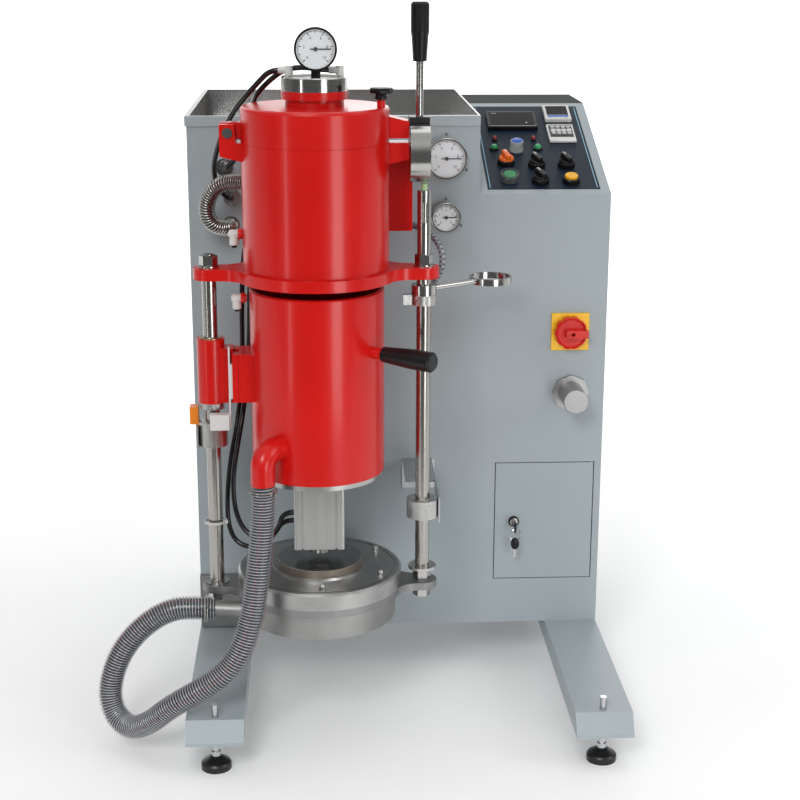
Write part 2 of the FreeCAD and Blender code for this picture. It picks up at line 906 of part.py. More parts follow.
def base():
    """Cast base under the tower: bracket, pot, eared plate, cover with nuts, wear plate."""
    pot = turned("pot_body", [("0", "0"), ("pot_radius", "0"), ("pot_radius", "pot_height"),
                              ("pot_radius-pot_wall", "pot_height"), ("pot_radius-pot_wall", "pot_wall"),
                              ("0", "pot_wall")], "tower_x", "tower_y", "pot_z")
    outlet = made("pot_outlet", pipe(OUTLET, "outlet_radius"))
    bore = made("pot_outlet_bore", pipe(OUTLET, "outlet_bore"))
    piece("base_pot", carve("base_pot", join("pot_with_outlet", pot, outlet), bore))

    ears = eared_plate("base_plate", "plate_z", "base_plate_thick", "base_plate_radius")
    piece("base_plate", ears)

    cover = turned("base_cover_body",
                   [("0", "0"), ("base_plate_radius", "0"),
                    ("base_plate_radius", "cover_height-cover_chamfer"),
                    ("base_plate_radius-cover_chamfer", "cover_height"), ("groove_radius", "cover_height"),
                    ("groove_radius", "cover_height-groove_depth"),
                    ("groove_radius-groove_width", "cover_height-groove_depth"),
                    ("groove_radius-groove_width", "cover_height"), ("boss_radius", "cover_height"),
                    ("boss_radius-1", "cover_height+boss_height"), ("0", "cover_height+boss_height")],
                   "tower_x", "tower_y", "cover_z")
    piece("base_cover", cover)
    wear = turned("wear_plate",
                  [("0", "0"), ("wear_radius", "0"), ("wear_radius", "wear_thick-wear_chamfer"),
                   ("wear_radius-wear_chamfer", "wear_thick"), ("0", "wear_thick")],
                  "tower_x", "tower_y", "wear_z")
    piece("wear_plate", wear)

    back_plate = block("bracket_back", "left+bracket_inset", "face-bracket_thick", "under+bracket_low",
                       "bracket_width", "bracket_thick", "bracket_height")
    arms = [block("bracket_arm_" + side, "tower_x" + place, "face-bracket_reach",
                  "plate_z-bracket_arm_height", "bracket_rib", "bracket_reach-1", "bracket_arm_height")
            for side, place in (("left", "-bracket_arm_out-bracket_rib"), ("right", "+bracket_arm_out"))]
    ledge = block("bracket_ledge", "tower_x-bracket_arm_out-bracket_rib", "face-bracket_reach",
                  "plate_z-bracket_thick", "2*(bracket_arm_out+bracket_rib)", "bracket_reach-1",
                  "bracket_thick")
    pot_room = rod("bracket_pot_room", "tower_x", "tower_y", "pot_z-base_height",
                   "pot_radius+seal_squeeze_gap", "base_height+pot_height+base_plate_thick")
    solid = join("bracket_solid", back_plate, ledge, *arms)
    piece("base_bracket", carve("base_bracket", solid, pot_room))


def eared_plate(name, z, thick, radius):
    """A round plate with an ear for each post, drilled for the post ends."""
    disc = rod(name + "_disc", "tower_x", "tower_y", z, radius, thick)
    bar = block(name + "_bar", "post_left", "tower_y-ear_radius", z, "post_pitch", "2*ear_radius", thick)
    ends = [rod(name + "_ear_" + side, x, "tower_y", z, "ear_radius", thick)
            for side, x in (("left", "post_left"), ("right", "post_right"))]
    solid = join(name + "_solid", disc, bar, *ends)
    merged = doc.addObject("Part::Refine", name + "_refined")
    merged.Source = solid

    def corner(edge):
        place = edge.Vertexes[0].Point - Vector(size("tower_x"), size("tower_y"), 0)
        on_circle = abs(math.hypot(place.x, place.y) - size(radius)) < 0.01
        return upright(edge) and on_circle and abs(abs(place.y) - size("ear_radius")) < 0.01

    smooth = rounded(name + "_smooth", merged, "ear_fillet", corner)
    holes = [rod(name + "_hole_" + side, x, "tower_y", z + "-1", "stud_end_radius+fit_clearance",
                 thick + "+2")
             for side, x in (("left", "post_left"), ("right", "post_right"))]
    return carve(name, smooth, *holes)


def posts():
    """Two posts, their nuts and washers, and the collars clamped on them."""
    bars = []
    for side, x, foot in (("left", "post_left", "cover_z+washer_thick"),
                          ("right", "post_right", "cover_z+right_disc_rise+right_disc_thick")):
        shaft = rod("post_shaft_" + side, x, "tower_y", foot, "post_radius", "flange_z-(" + foot + ")")
        top = "flange_top+post_nut_height+washer_thick+2" if side == "left" else "flange_top+tube_height"
        stud = rod("post_stud_" + side, x, "tower_y", "plate_z-post_nut_height-2", "stud_end_radius",
                   top + "-(plate_z-post_nut_height-2)")
        bars.append(join("post_" + side, shaft, stud))
    piece("guide_posts", group("guide_posts", *bars))

    bored = "stud_end_radius+fit_clearance"
    rings = []
    for side, x in (("left", "post_left"), ("right", "post_right")):
        nut_z = "flange_top+washer_thick"
        low_nut = "plate_z-post_nut_height"
        rings.append(drilled("top_nut_" + side, prism("top_nut_body_" + side, x, "tower_y", nut_z, 6,
                                                      "post_nut_radius", "post_nut_height"),
                             x, nut_z, "post_nut_height", bored))
        rings.append(drilled("top_washer_" + side, rod("top_washer_body_" + side, x, "tower_y", "flange_top",
                                                       "post_nut_radius+2", "washer_thick"),
                             x, "flange_top", "washer_thick", bored))
        rings.append(drilled("low_nut_" + side, prism("low_nut_body_" + side, x, "tower_y", low_nut, 6,
                                                      "post_nut_radius", "post_nut_height"),
                             x, low_nut, "post_nut_height", bored))
    rings.append(drilled("foot_washer", rod("foot_washer_body", "post_left", "tower_y", "cover_z",
                                            "washer_radius", "washer_thick"),
                         "post_left", "cover_z", "washer_thick", bored))
    disc_z = "cover_z+right_disc_rise"
    rings.append(drilled("right_disc", rod("right_disc_body", "post_right", "tower_y", disc_z,
                                           "right_disc_radius", "right_disc_thick"),
                         "post_right", disc_z, "right_disc_thick", bored))
    rings.append(drilled("right_foot_nut", prism("right_foot_nut_body", "post_right", "tower_y", "cover_z", 6,
                                                 "post_nut_radius", "post_nut_height"),
                         "post_right", "cover_z", "post_nut_height", bored))
    rings.append(drilled("right_foot_sleeve", rod("right_foot_sleeve_body", "post_right", "tower_y",
                                                  "cover_z+post_nut_height", "stud_end_radius+3",
                                                  "right_disc_rise-post_nut_height"),
                         "post_right", "cover_z+post_nut_height", "right_disc_rise-post_nut_height", bored))
    PINS.extend(rings)

    grip = "post_radius+fit_clearance"
    left_z = "cover_top+left_clamp_rise"
    left_body = rod("left_clamp_body", "post_left", "tower_y", left_z, "left_clamp_radius",
                    "left_clamp_height")
    left_slit = block("left_clamp_slit", "post_left", "tower_y-1", left_z + "-1", "left_clamp_radius*2", "2",
                      "left_clamp_height+2")
    thrust_z = "sleeve_z-thrust_height-slide_gap"
    thrust = drilled("thrust_collar", rod("thrust_body", "post_left", "tower_y", thrust_z,
                                          "thrust_radius", "thrust_height"),
                     "post_left", thrust_z, "thrust_height", grip)
    left = carve("left_clamp", drilled("left_clamp_bored", left_body, "post_left", left_z,
                                       "left_clamp_height", grip), left_slit)
    right_z = "cover_top+right_collar_rise"
    right = drilled("right_collar", rod("right_collar_body", "post_right", "tower_y", right_z,
                                        "right_collar_radius", "right_collar_height"),
                    "post_right", right_z, "right_collar_height", grip)
    stop_z = "arm_z-arm_collar_gap-arm_collar_height"
    stop_body = rod("arm_stop_body", "post_right", "tower_y", stop_z, "arm_collar_radius",
                    "arm_collar_height")
    stop_lug = block("arm_stop_lug", "post_right-arm_collar_radius-stop_lug", "tower_y-stop_lug/2", stop_z,
                     "arm_collar_radius+stop_lug", "stop_lug", "arm_collar_height")
    stop = drilled("arm_stop", join("arm_stop_solid", stop_body, stop_lug), "post_right", stop_z,
                   "arm_collar_height", grip)
    piece("post_collars", group("post_collars", thrust, left, right, stop))


def drilled(name, base, x, z, depth, radius):
    """Drills a feature right through along a post's axis."""
    hole = rod(name + "_hole", x, "tower_y", z + "-1", radius, depth + "+2")
    return carve(name, base, hole)


def switches():
    """Limit switches on sheet brackets beside the posts, and the stay of the right post."""
    left_z = "cover_top+left_clamp_rise"
    plate_x = "post_left-left_clamp_radius-stay_thick"
    plate = block("left_switch_plate", plate_x, "tower_y-switch_plate_front", left_z + "-6",
                  "stay_thick", "switch_plate_front+switch_plate_rear", "left_clamp_height")
    body = block("left_switch_body", plate_x + "-limit_thick+stay_thick", "tower_y",
                 left_z + "-6+left_clamp_height", "limit_thick", "limit_depth", "limit_height")
    tab_x = "post_right+right_collar_radius"
    tab_z = "cover_top+right_collar_rise-limit_height/3"
    tab = block("right_switch_plate", tab_x, "tower_y-limit_depth/2", tab_z, "stay_thick",
                "tower_reach*0.42+limit_depth/2", "under+stay_z-(" + tab_z + ")")
    stay_y = "face-stay_thick"
    flange = block("stay_flange", "left+stay_x-stay_width/2", stay_y, "under+stay_z-stay_flange",
                   "stay_width", "stay_thick", "stay_flange")
    top = block("stay_top", "left+stay_x-stay_width/2", "tower_y+tower_reach*0.38", "under+stay_z-stay_thick",
                tab_x + "+stay_thick-(left+stay_x-stay_width/2)",
                "tower_reach*0.62", "stay_thick")
    piece("post_brackets", group("post_brackets", join("post_stay", tab, flange, top),
                                 join("limit_switch", plate, body)))


def upper_tower():
    """Upper chamber with its flange, hinge and latch lugs, and what it holds."""
    tube = turned("upper_tube", [("pour_radius", "flange_thick-upper_wall"),
                                 ("upper_radius", "flange_thick-upper_wall"),
                                 ("upper_radius", "upper_height"),
                                 ("upper_radius-upper_wall", "upper_height"),
                                 ("upper_radius-upper_wall", "flange_thick"),
                                 ("pour_radius", "flange_thick")], "tower_x", "tower_y", "flange_z")
    flange = eared_plate("upper_flange", "flange_z", "flange_thick", "flange_radius")
    through = rod("flange_pour", "tower_x", "tower_y", "flange_z-1", "pour_radius", "flange_thick+2")
    seat = turned("flange_seal_seat", [("seal_radius-seal_width", "-1"), ("seal_radius", "-1"),
                                       ("seal_radius", "seal_thick-seal_proud"),
                                       ("seal_radius-seal_width", "seal_thick-seal_proud")],
                  "tower_x", "tower_y", "flange_z")
    lid_seat = turned("lid_seal_seat", [("lid_seal_radius-seal_width", "-seal_thick+lid_gap/2"),
                                        ("lid_seal_radius", "-seal_thick+lid_gap/2"),
                                        ("lid_seal_radius", "1"), ("lid_seal_radius-seal_width", "1")],
                      "tower_x", "tower_y", "seam_z")
    lugs = []
    for side, y in (("front", "tower_y-knuckle_width/2-clevis_thick-slide_gap"),
                    ("rear", "tower_y+knuckle_width/2+slide_gap")):
        face_points = [("-clevis_left", "-clevis_drop+knuckle_radius"), ("clevis_right", "-clevis_drop"),
                       ("clevis_right", "-hinge_rise-lid_gap"), ("knuckle_radius+2", "-hinge_rise-lid_gap"),
                       ("knuckle_radius", "knuckle_radius+2"), ("-clevis_left", "knuckle_radius+2")]
        lugs.append(milled("clevis_" + side, face_points, "clevis_thick", "hinge_x", y + "+clevis_thick",
                           "hinge_z", "XZ_Plane"))
    web = block("clevis_web", "hinge_x-clevis_left", "tower_y-knuckle_width/2-clevis_thick",
                "hinge_z-clevis_drop+knuckle_radius", "clevis_left+clevis_right",
                "knuckle_width+2*clevis_thick", "clevis_drop-2*knuckle_radius-5")
    pin_hole = rod("hinge_pin_hole", "hinge_x", "tower_y-knuckle_width/2-clevis_thick-5", "hinge_z",
                   "hinge_pin_radius", "knuckle_width+2*clevis_thick+10", "back")
    latch = latch_lug("chamber_latch", "seam_z-lid_gap", "-chamber_latch_height",
                      "-chamber_latch_height+latch_slope")
    shaft = rod("drum_shaft", "tower_x+upper_radius-upper_wall/2", "tower_y", "drum_z", "drum_shaft_radius",
                "drum_reach+drum_width-upper_radius+upper_wall/2", "right")
    support = block("latch_support", "tower_x+upper_radius-support_width/3", "tower_y+support_back",
                    "drum_z-support_height-15", "support_width", "support_thick", "support_height")
    port = made("hose_port", pipe(PORT, "metal_hose_radius-slide_gap"))
    port_bore = made("hose_port_bore", pipe(PORT, "metal_hose_bore-2"))
    room = rod("upper_room", "tower_x", "tower_y", "flange_top", "upper_radius-upper_wall", "upper_height")
    solid = join("upper_solid", tube, flange, web, latch, shaft, support, port, *lugs)
    tower = carve("upper_chamber", solid, through, seat, lid_seat, pin_hole, port_bore, room)
    piece("upper_chamber", tower)

    squeezed = [("seal_radius-seal_width+pin_clearance", "-seal_proud"),
                ("seal_radius-pin_clearance", "-seal_proud"),
                ("seal_radius-pin_clearance", "seal_thick-seal_proud"),
                ("seal_radius-seal_width+pin_clearance", "seal_thick-seal_proud")]
    low_seal = turned("flange_seal", squeezed, "tower_x", "tower_y", "flange_z")
    lid_seal = turned("lid_seal", [("lid_seal_radius-seal_width+pin_clearance", "-seal_thick+lid_gap/2"),
                                   ("lid_seal_radius-pin_clearance", "-seal_thick+lid_gap/2"),
                                   ("lid_seal_radius-pin_clearance", "lid_gap/2"),
                                   ("lid_seal_radius-seal_width+pin_clearance", "lid_gap/2")],
                      "tower_x", "tower_y", "seam_z")
    piece("seal_rings", group("seal_rings", low_seal, lid_seal))

    pin = turned("hinge_pin", [("0", "0"), ("hinge_pin_radius", "0"),
                               ("hinge_pin_radius", "knuckle_width+2*clevis_thick+2*slide_gap"),
                               ("hinge_pin_radius+2.5", "knuckle_width+2*clevis_thick+2*slide_gap"),
                               ("hinge_pin_radius+2.5", "knuckle_width+2*clevis_thick+2*slide_gap+4"),
                               ("0", "knuckle_width+2*clevis_thick+2*slide_gap+4")],
                 "hinge_x", "tower_y+knuckle_width/2+clevis_thick+slide_gap", "hinge_z", "front")
    PINS.append(pin)

    floor = "flange_top"
    lining = turned("coil_lining", [("crucible_radius+lining_gap", "0"), ("coil_inner-lining_gap", "0"),
                                    ("coil_inner-lining_gap", "crucible_height"),
                                    ("upper_radius-upper_wall-cover_play", "crucible_height"),
                                    ("upper_radius-upper_wall-cover_play", "crucible_height+cover_board"),
                                    ("crucible_radius+lining_gap", "crucible_height+cover_board")],
                    "tower_x", "tower_y", floor)
    piece("furnace_lining", lining)
    coil = turned("induction_coil", coil_points(), "tower_x", "tower_y", floor)
    piece("induction_coil", coil)
    crucible = turned("crucible", [("crucible_radius-crucible_wall-14", "0"), ("crucible_radius-4", "0"),
                                   ("crucible_radius", "crucible_height+crucible_rim"),
                                   ("crucible_radius-crucible_wall", "crucible_height+crucible_rim"),
                                   ("crucible_radius-crucible_wall-2", "2*crucible_wall"),
                                   ("crucible_radius-crucible_wall-14", "1.3*crucible_wall")],
                      "tower_x", "tower_y", floor)
    piece("crucible", crucible)


def coil_points():
    """Half outline of the coil: a bore and one round-shouldered step for each turn."""
    turns = int(size("coil_turns"))
    step = "coil_height/coil_turns"
    points = [("coil_inner", "coil_foot"), ("coil_outer-2", "coil_foot")]
    for turn in range(turns):
        low = "coil_foot+%d*%s" % (turn, step)
        points += [("coil_outer", low + "+%s*0.2" % step), ("coil_outer", low + "+%s*0.8" % step),
                   ("coil_outer-2", low + "+%s" % step)]
    return points + [("coil_inner", "coil_foot+coil_height")]


def latch_lug(name, z, low, outer):
    """A lug of the latch, drawn from the front: its free end is cut on a slope."""
    points = [("0", "0"), ("latch_reach+lug_weld", "0"), ("latch_reach+lug_weld", outer), ("0", low)]
    return milled(name, points, "latch_width", "tower_x+upper_radius-lug_weld", "tower_y+latch_width/2", z,
                  "XZ_Plane")


def lid_group():
    """Lid with its neck, knuckle and latch lug, sight ring, gauge, needle, fittings and knob."""
    cap = turned("lid_cap", [("sight_bore-2", "lid_height-lid_wall"),
                             ("upper_radius-lid_wall", "lid_height-lid_wall"),
                             ("upper_radius-lid_wall", "0"), ("upper_radius", "0"),
                             ("upper_radius", "lid_height-lid_edge"),
                             ("upper_radius-lid_edge*0.3", "lid_height-lid_edge*0.3"),
                             ("upper_radius-lid_edge", "lid_height"), ("neck_outer", "lid_height"),
                             ("neck_outer", "lid_height+neck_height"),
                             ("band_outer", "lid_height+neck_height"),
                             ("band_outer", "lid_height+neck_height+band_height"),
                             ("sight_bore-2", "lid_height+neck_height+band_height")],
                 "tower_x", "tower_y", "lid_z")
    knuckle = rod("lid_knuckle", "hinge_x", "tower_y-knuckle_width/2", "hinge_z", "knuckle_radius",
                  "knuckle_width", "back")
    arm = block("lid_hinge_arm", "hinge_x", "tower_y-knuckle_width/2", "hinge_z-knuckle_radius",
                "hinge_reach-upper_radius+lid_wall/2", "knuckle_width", "2*knuckle_radius+4")
    pin_hole = rod("lid_pin_hole", "hinge_x", "tower_y-knuckle_width", "hinge_z",
                   "hinge_pin_radius+fit_clearance", "2*knuckle_width", "back")
    points = [("0", "0"), ("latch_reach+lug_weld", "0"),
              ("latch_reach+lug_weld", "lid_latch_height-latch_slope"), ("0", "lid_latch_height")]
    latch = milled("lid_latch", points, "latch_width", "tower_x+upper_radius-lug_weld", "tower_y+latch_width/2",
                   "lid_z+lid_latch_rise", "XZ_Plane")
    room = rod("lid_room", "tower_x", "tower_y", "lid_z-1", "upper_radius-lid_wall",
               "lid_height-lid_wall+1")
    boss = rod("lid_knob_boss", KNOB_X, KNOB_Y, "lid_top-1", "knob_stem_radius", "knob_stem_height+1")
    boss_bore = rod("lid_knob_bore", KNOB_X, KNOB_Y, "lid_top-lid_wall-1", "knob_screw+fit_clearance",
                    "knob_stem_height+lid_wall+2")
    solid = join("lid_solid", cap, knuckle, arm, latch, boss)
    piece("lid", carve("lid", solid, pin_hole, room, boss_bore))

    ring = turned("sight_ring_body", [("0", "0"), ("band_outer", "0"), ("band_outer", "sight_height-1.5"),
                                      ("band_outer-1.5", "sight_height"), ("sight_bore+6", "sight_height"),
                                      ("sight_bore+4", "sight_height-3"), ("0", "sight_height-3")],
                  "tower_x", "tower_y", "band_top")
    ports = [rod("fitting_hole_" + side, x, "tower_y+fitting_back", "band_top-1", "fitting_radius-2",
                 "sight_height+2")
             for side, x in (("left", "tower_x-fitting_out"), ("right", "tower_x+fitting_out"))]
    glass_room = rod("glass_room", "tower_x", "tower_y", "band_top-1", "sight_bore-8", "sight_glass_thick+1")
    band = carve("sight_band", ring, glass_room, *ports)
    glass = rod("sight_glass", "tower_x", "tower_y", "band_top", "sight_bore-8-pin_clearance",
                "sight_glass_thick-pin_clearance")

    fittings = []
    for side, x, turn in (("left", "tower_x-fitting_out", "left"), ("right", "tower_x+fitting_out", "left")):
        foot = "sight_top"
        y = "tower_y+fitting_back"
        stem = rod("fitting_stem_" + side, x, y, foot, "fitting_radius", "fitting_rise")
        barb = rod("fitting_arm_" + side, x, y, foot + "+fitting_rise-fitting_radius",
                   "fitting_arm_radius", "fitting_arm", turn)
        tail = rod("fitting_tail_" + side, x, y, foot + "-8", "fitting_radius-2-fit_clearance", "9")
        socket = rod("fitting_socket_" + side, x + "-fitting_arm+6", y,
                     foot + "+fitting_rise-fitting_radius", "air_tube_radius+slide_gap", "7", turn)
        fittings.append(carve("fitting_" + side, join("fitting_solid_" + side, stem, barb, tail), socket))
    piece("sight_ring", group("sight_ring", band, glass, *fittings))

    dial(name="lid_gauge", x="tower_x+2", y="tower_y-lid_gauge_front+lid_gauge_depth",
         z="sight_top+lid_gauge_lift", radius="lid_gauge_radius", depth="lid_gauge_depth", stem=True)
    needle("lid_needle", "tower_x+2", "tower_y-lid_gauge_front", "sight_top+lid_gauge_lift",
           "lid_gauge_radius")

    knob = turned("lid_knob", [("0", "-knob_stem_height-lid_wall"),
                               ("knob_screw", "-knob_stem_height-lid_wall"),
                               ("knob_screw", "lid_gap"), ("knob_stem_radius-0.5", "lid_gap"),
                               ("knob_stem_radius", "knob_height*0.45"),
                               ("knob_radius*0.9", "knob_height*0.5"),
                               ("knob_radius", "knob_height*0.62"), ("knob_radius", "knob_height*0.85"),
                               ("knob_radius*0.85", "knob_height"), ("0", "knob_height")],
                  KNOB_X, KNOB_Y, "lid_top+knob_stem_height")
    piece("lid_knob", knob)


def dial(name, x, y, z, radius, depth, stem=False):
    """A gauge case facing front: a cup with a rim round a sunk dial, and a stem if it has one."""
    case = turned(name + "_case", [("0", "0"), (radius + "-2", "0"),
                                   (radius + "-2", depth + "-gauge_recess-4"),
                                   (radius, depth + "-gauge_recess-3"), (radius, depth + "-1"),
                                   (radius + "-1", depth), (radius + "-gauge_rim", depth),
                                   (radius + "-gauge_rim", depth + "-gauge_recess"),
                                   ("0", depth + "-gauge_recess")], x, y, z, "front")
    pin_hole = rod(name + "_pin_hole", x, y, z, "needle_pin_radius+fit_clearance", depth, "front")
    solid = case
    if stem:
        post = rod(name + "_stem", "tower_x+2", "tower_y", "sight_top-3", "lid_gauge_stem",
                   "lid_gauge_lift-lid_gauge_radius+10")
        solid = join(name + "_with_stem", case, post)
        return piece(name, carve(name, solid, pin_hole))
    return carve(name, solid, pin_hole)


def needle(name, x, front, z, radius):
    """A needle on its pin, standing clear of the dial."""
    plane = front + "+gauge_recess-2"
    pin = rod(name + "_pin", x, front + "+gauge_recess+3", z, "needle_pin_radius", "7", "front")
    hub = rod(name + "_hub", x, plane + "+needle_thick", z, "needle_pin_radius+1.5", "needle_thick+0.6",
              "front")
    pointer = block(name + "_pointer", x + "-" + radius + "*0.25", plane, z + "-needle_width/2",
                    radius + "*0.98", "needle_thick", "needle_width")
    return piece(name, join(name, pin, hub, pointer))


def face_fittings():
    """What sits on the cabinet's face: gauges, main switch, silencer, bulkhead fittings."""
    cases = []
    for name, z, radius in (("vacuum", "under+gauge_z", "gauge_radius"),
                            ("pressure", "under+small_gauge_z", "small_gauge_radius")):
        cases.append(dial(name=name + "_gauge", x="left+gauge_x", y="face", z=z, radius=radius,
                          depth="gauge_stand"))
        needle(name + "_needle", "left+gauge_x", "face-gauge_stand", z, radius)
    piece("gauge_cases", group("gauge_cases", *cases))

    x, z = "left+switch_x", "under+switch_z"
    half = "switch_plate_side/2"
    sheet_plate = block("switch_plate_body", x + "-" + half, "face-switch_plate_thick", z + "-" + half,
                        "switch_plate_side", "switch_plate_thick", "switch_plate_side")
    hole = rod("switch_plate_hole", x, "face+1", z, "switch_spindle+fit_clearance", "switch_plate_thick+2",
               "front")
    back_plate = carve("switch_plate", sheet_plate, hole)
    top = "switch_knob_thick+switch_gap"
    disc = turned("switch_disc", [("0", "-switch_plate_thick"), ("switch_spindle", "-switch_plate_thick"),
                                  ("switch_spindle", "switch_gap"), ("switch_knob_radius", "switch_gap"),
                                  ("switch_knob_radius", top + "-2"), ("switch_knob_radius-2", top),
                                  ("switch_knob_radius-5", top + "-3"), ("0", top + "-3")],
                  x, "face-switch_plate_thick", z, "front")
    bar = block("switch_bar", x + "-switch_bar_width*0.7",
                "face-switch_plate_thick-" + top + "-switch_bar_height+10",
                z + "-switch_bar_width/2", "switch_bar_length", "switch_bar_height", "switch_bar_width")
    lobes = []
    for number in range(int(size("switch_scallops"))):
        angle = "(%d+0.5)*360/switch_scallops" % number
        cut = rod("switch_scallop_%d" % number, x + "+(switch_knob_radius+4)*cos(" + angle + ")",
                  "face-switch_plate_thick", z + "+(switch_knob_radius+4)*sin(" + angle + ")",
                  "scallop_radius", top + "+2", "front")
        lobes.append(cut)
    padlock = rod("switch_padlock_hole", x + "+2", "face", z, "3", "switch_bar_height*4", "front")
    padlock_low = rod("switch_solid_hub", x, "face-switch_plate_thick", z, "8", top + "-3", "front")
    knob = carve("switch_scalloped", join("switch_solid", disc, bar), padlock, *lobes)
    piece("main_switch_knob", join("main_switch_knob", knob, padlock_low))

    nut = prism("silencer_nut", "left+silencer_x", "face", "under+silencer_z", 8,
                "silencer_nut_flat/2/cos(22.5)", "silencer_nut_thick", "front")
    body = turned("silencer_body", [("0", "0"), ("silencer_radius", "0"),
                                    ("silencer_radius", "silencer_length-1"),
                                    ("silencer_radius-1", "silencer_length"), ("0", "silencer_length")],
                  "left+silencer_x", "face", "under+silencer_z", "front")
    body_hole = rod("silencer_nut_bore", "left+silencer_x", "face+1", "under+silencer_z",
                    "silencer_radius+pin_clearance", "silencer_nut_thick+2", "front")
    piece("silencer", group("silencer", carve("silencer_nut_ring", nut, body_hole), body))

    rounds = []
    for number, (bx, bz) in enumerate(BULKHEADS):
        stand = [("0", "0"), ("bulkhead_radius", "0"), ("bulkhead_radius", "3"), ("bulkhead_radius-4", "3"),
                 ("bulkhead_radius-4", "bulkhead_stand"), ("0", "bulkhead_stand")]
        rounds.append(turned("bulkhead_%d" % number, stand, "left+" + bx, "face", "under+" + bz, "front"))
    piece("face_fittings", group("face_fittings", back_plate, *rounds))


def lever():
    """Latch drum on its shaft, with the tall lever, and the detent tube under it."""
    drum = rod("drum_body", "drum_x", "tower_y", "drum_z", "drum_radius", "drum_width", "right")
    flat = block("drum_block", "drum_x-1", "tower_y-drum_width/2", "drum_z+drum_radius-8", "drum_width+1",
                 "drum_width", "drum_block+8")
    bore = rod("drum_bore", "drum_x-5", "tower_y", "drum_z", "drum_shaft_radius+fit_clearance",
               "drum_width+10", "right")
    bored = carve("drum_bored", join("drum_solid", drum, flat), bore)
    foot = "drum_z+drum_radius+drum_block"
    middle = "drum_x+drum_width/2"
    bar = rod("lever_bar", middle, "tower_y", foot, "lever_rod_radius",
              "lever_rod_length+lever_grip_length-lever_grip_cap")
    grip = turned("lever_handle", [("lever_rod_radius", "0"), ("lever_grip_foot", "0"),
                                   ("lever_grip_foot+0.6", "1"),
                                   ("lever_grip_top-1.2", "lever_grip_length*0.42"),
                                   ("lever_grip_top", "lever_grip_length*0.5"),
                                   ("lever_grip_top", "lever_grip_length-3"),
                                   ("lever_grip_top-3", "lever_grip_length"), ("0", "lever_grip_length"),
                                   ("0", "lever_grip_length-lever_grip_cap"),
                                   ("lever_rod_radius", "lever_grip_length-lever_grip_cap")],
                  middle, "tower_y", foot + "+lever_rod_length")
    piece("latch_drum", group("latch_drum", bored, bar))
    piece("lever_grip", grip)
    tube_z = "flange_top+washer_thick+post_nut_height"
    tube = rod("tube_body", "post_right", "tower_y", tube_z, "tube_radius", "tube_height")
    stud_room = rod("tube_bore", "post_right", "tower_y", tube_z + "-1", "stud_end_radius+fit_clearance",
                    "flange_top+tube_height-(" + tube_z + ")+1+0.5")
    slot = block("tube_slot", "post_right-3", "tower_y-tube_radius-1", tube_z + "+tube_height*0.5", "6",
                 "tube_radius*0.8", "tube_height*0.32")
    tip = rod("tube_tip", "post_right", "tower_y", tube_z + "+tube_height-1", "tip_radius", "tip_height+1")
    piece("detent_tube", carve("detent_tube", join("tube_solid", tube, tip), stud_room, slot))


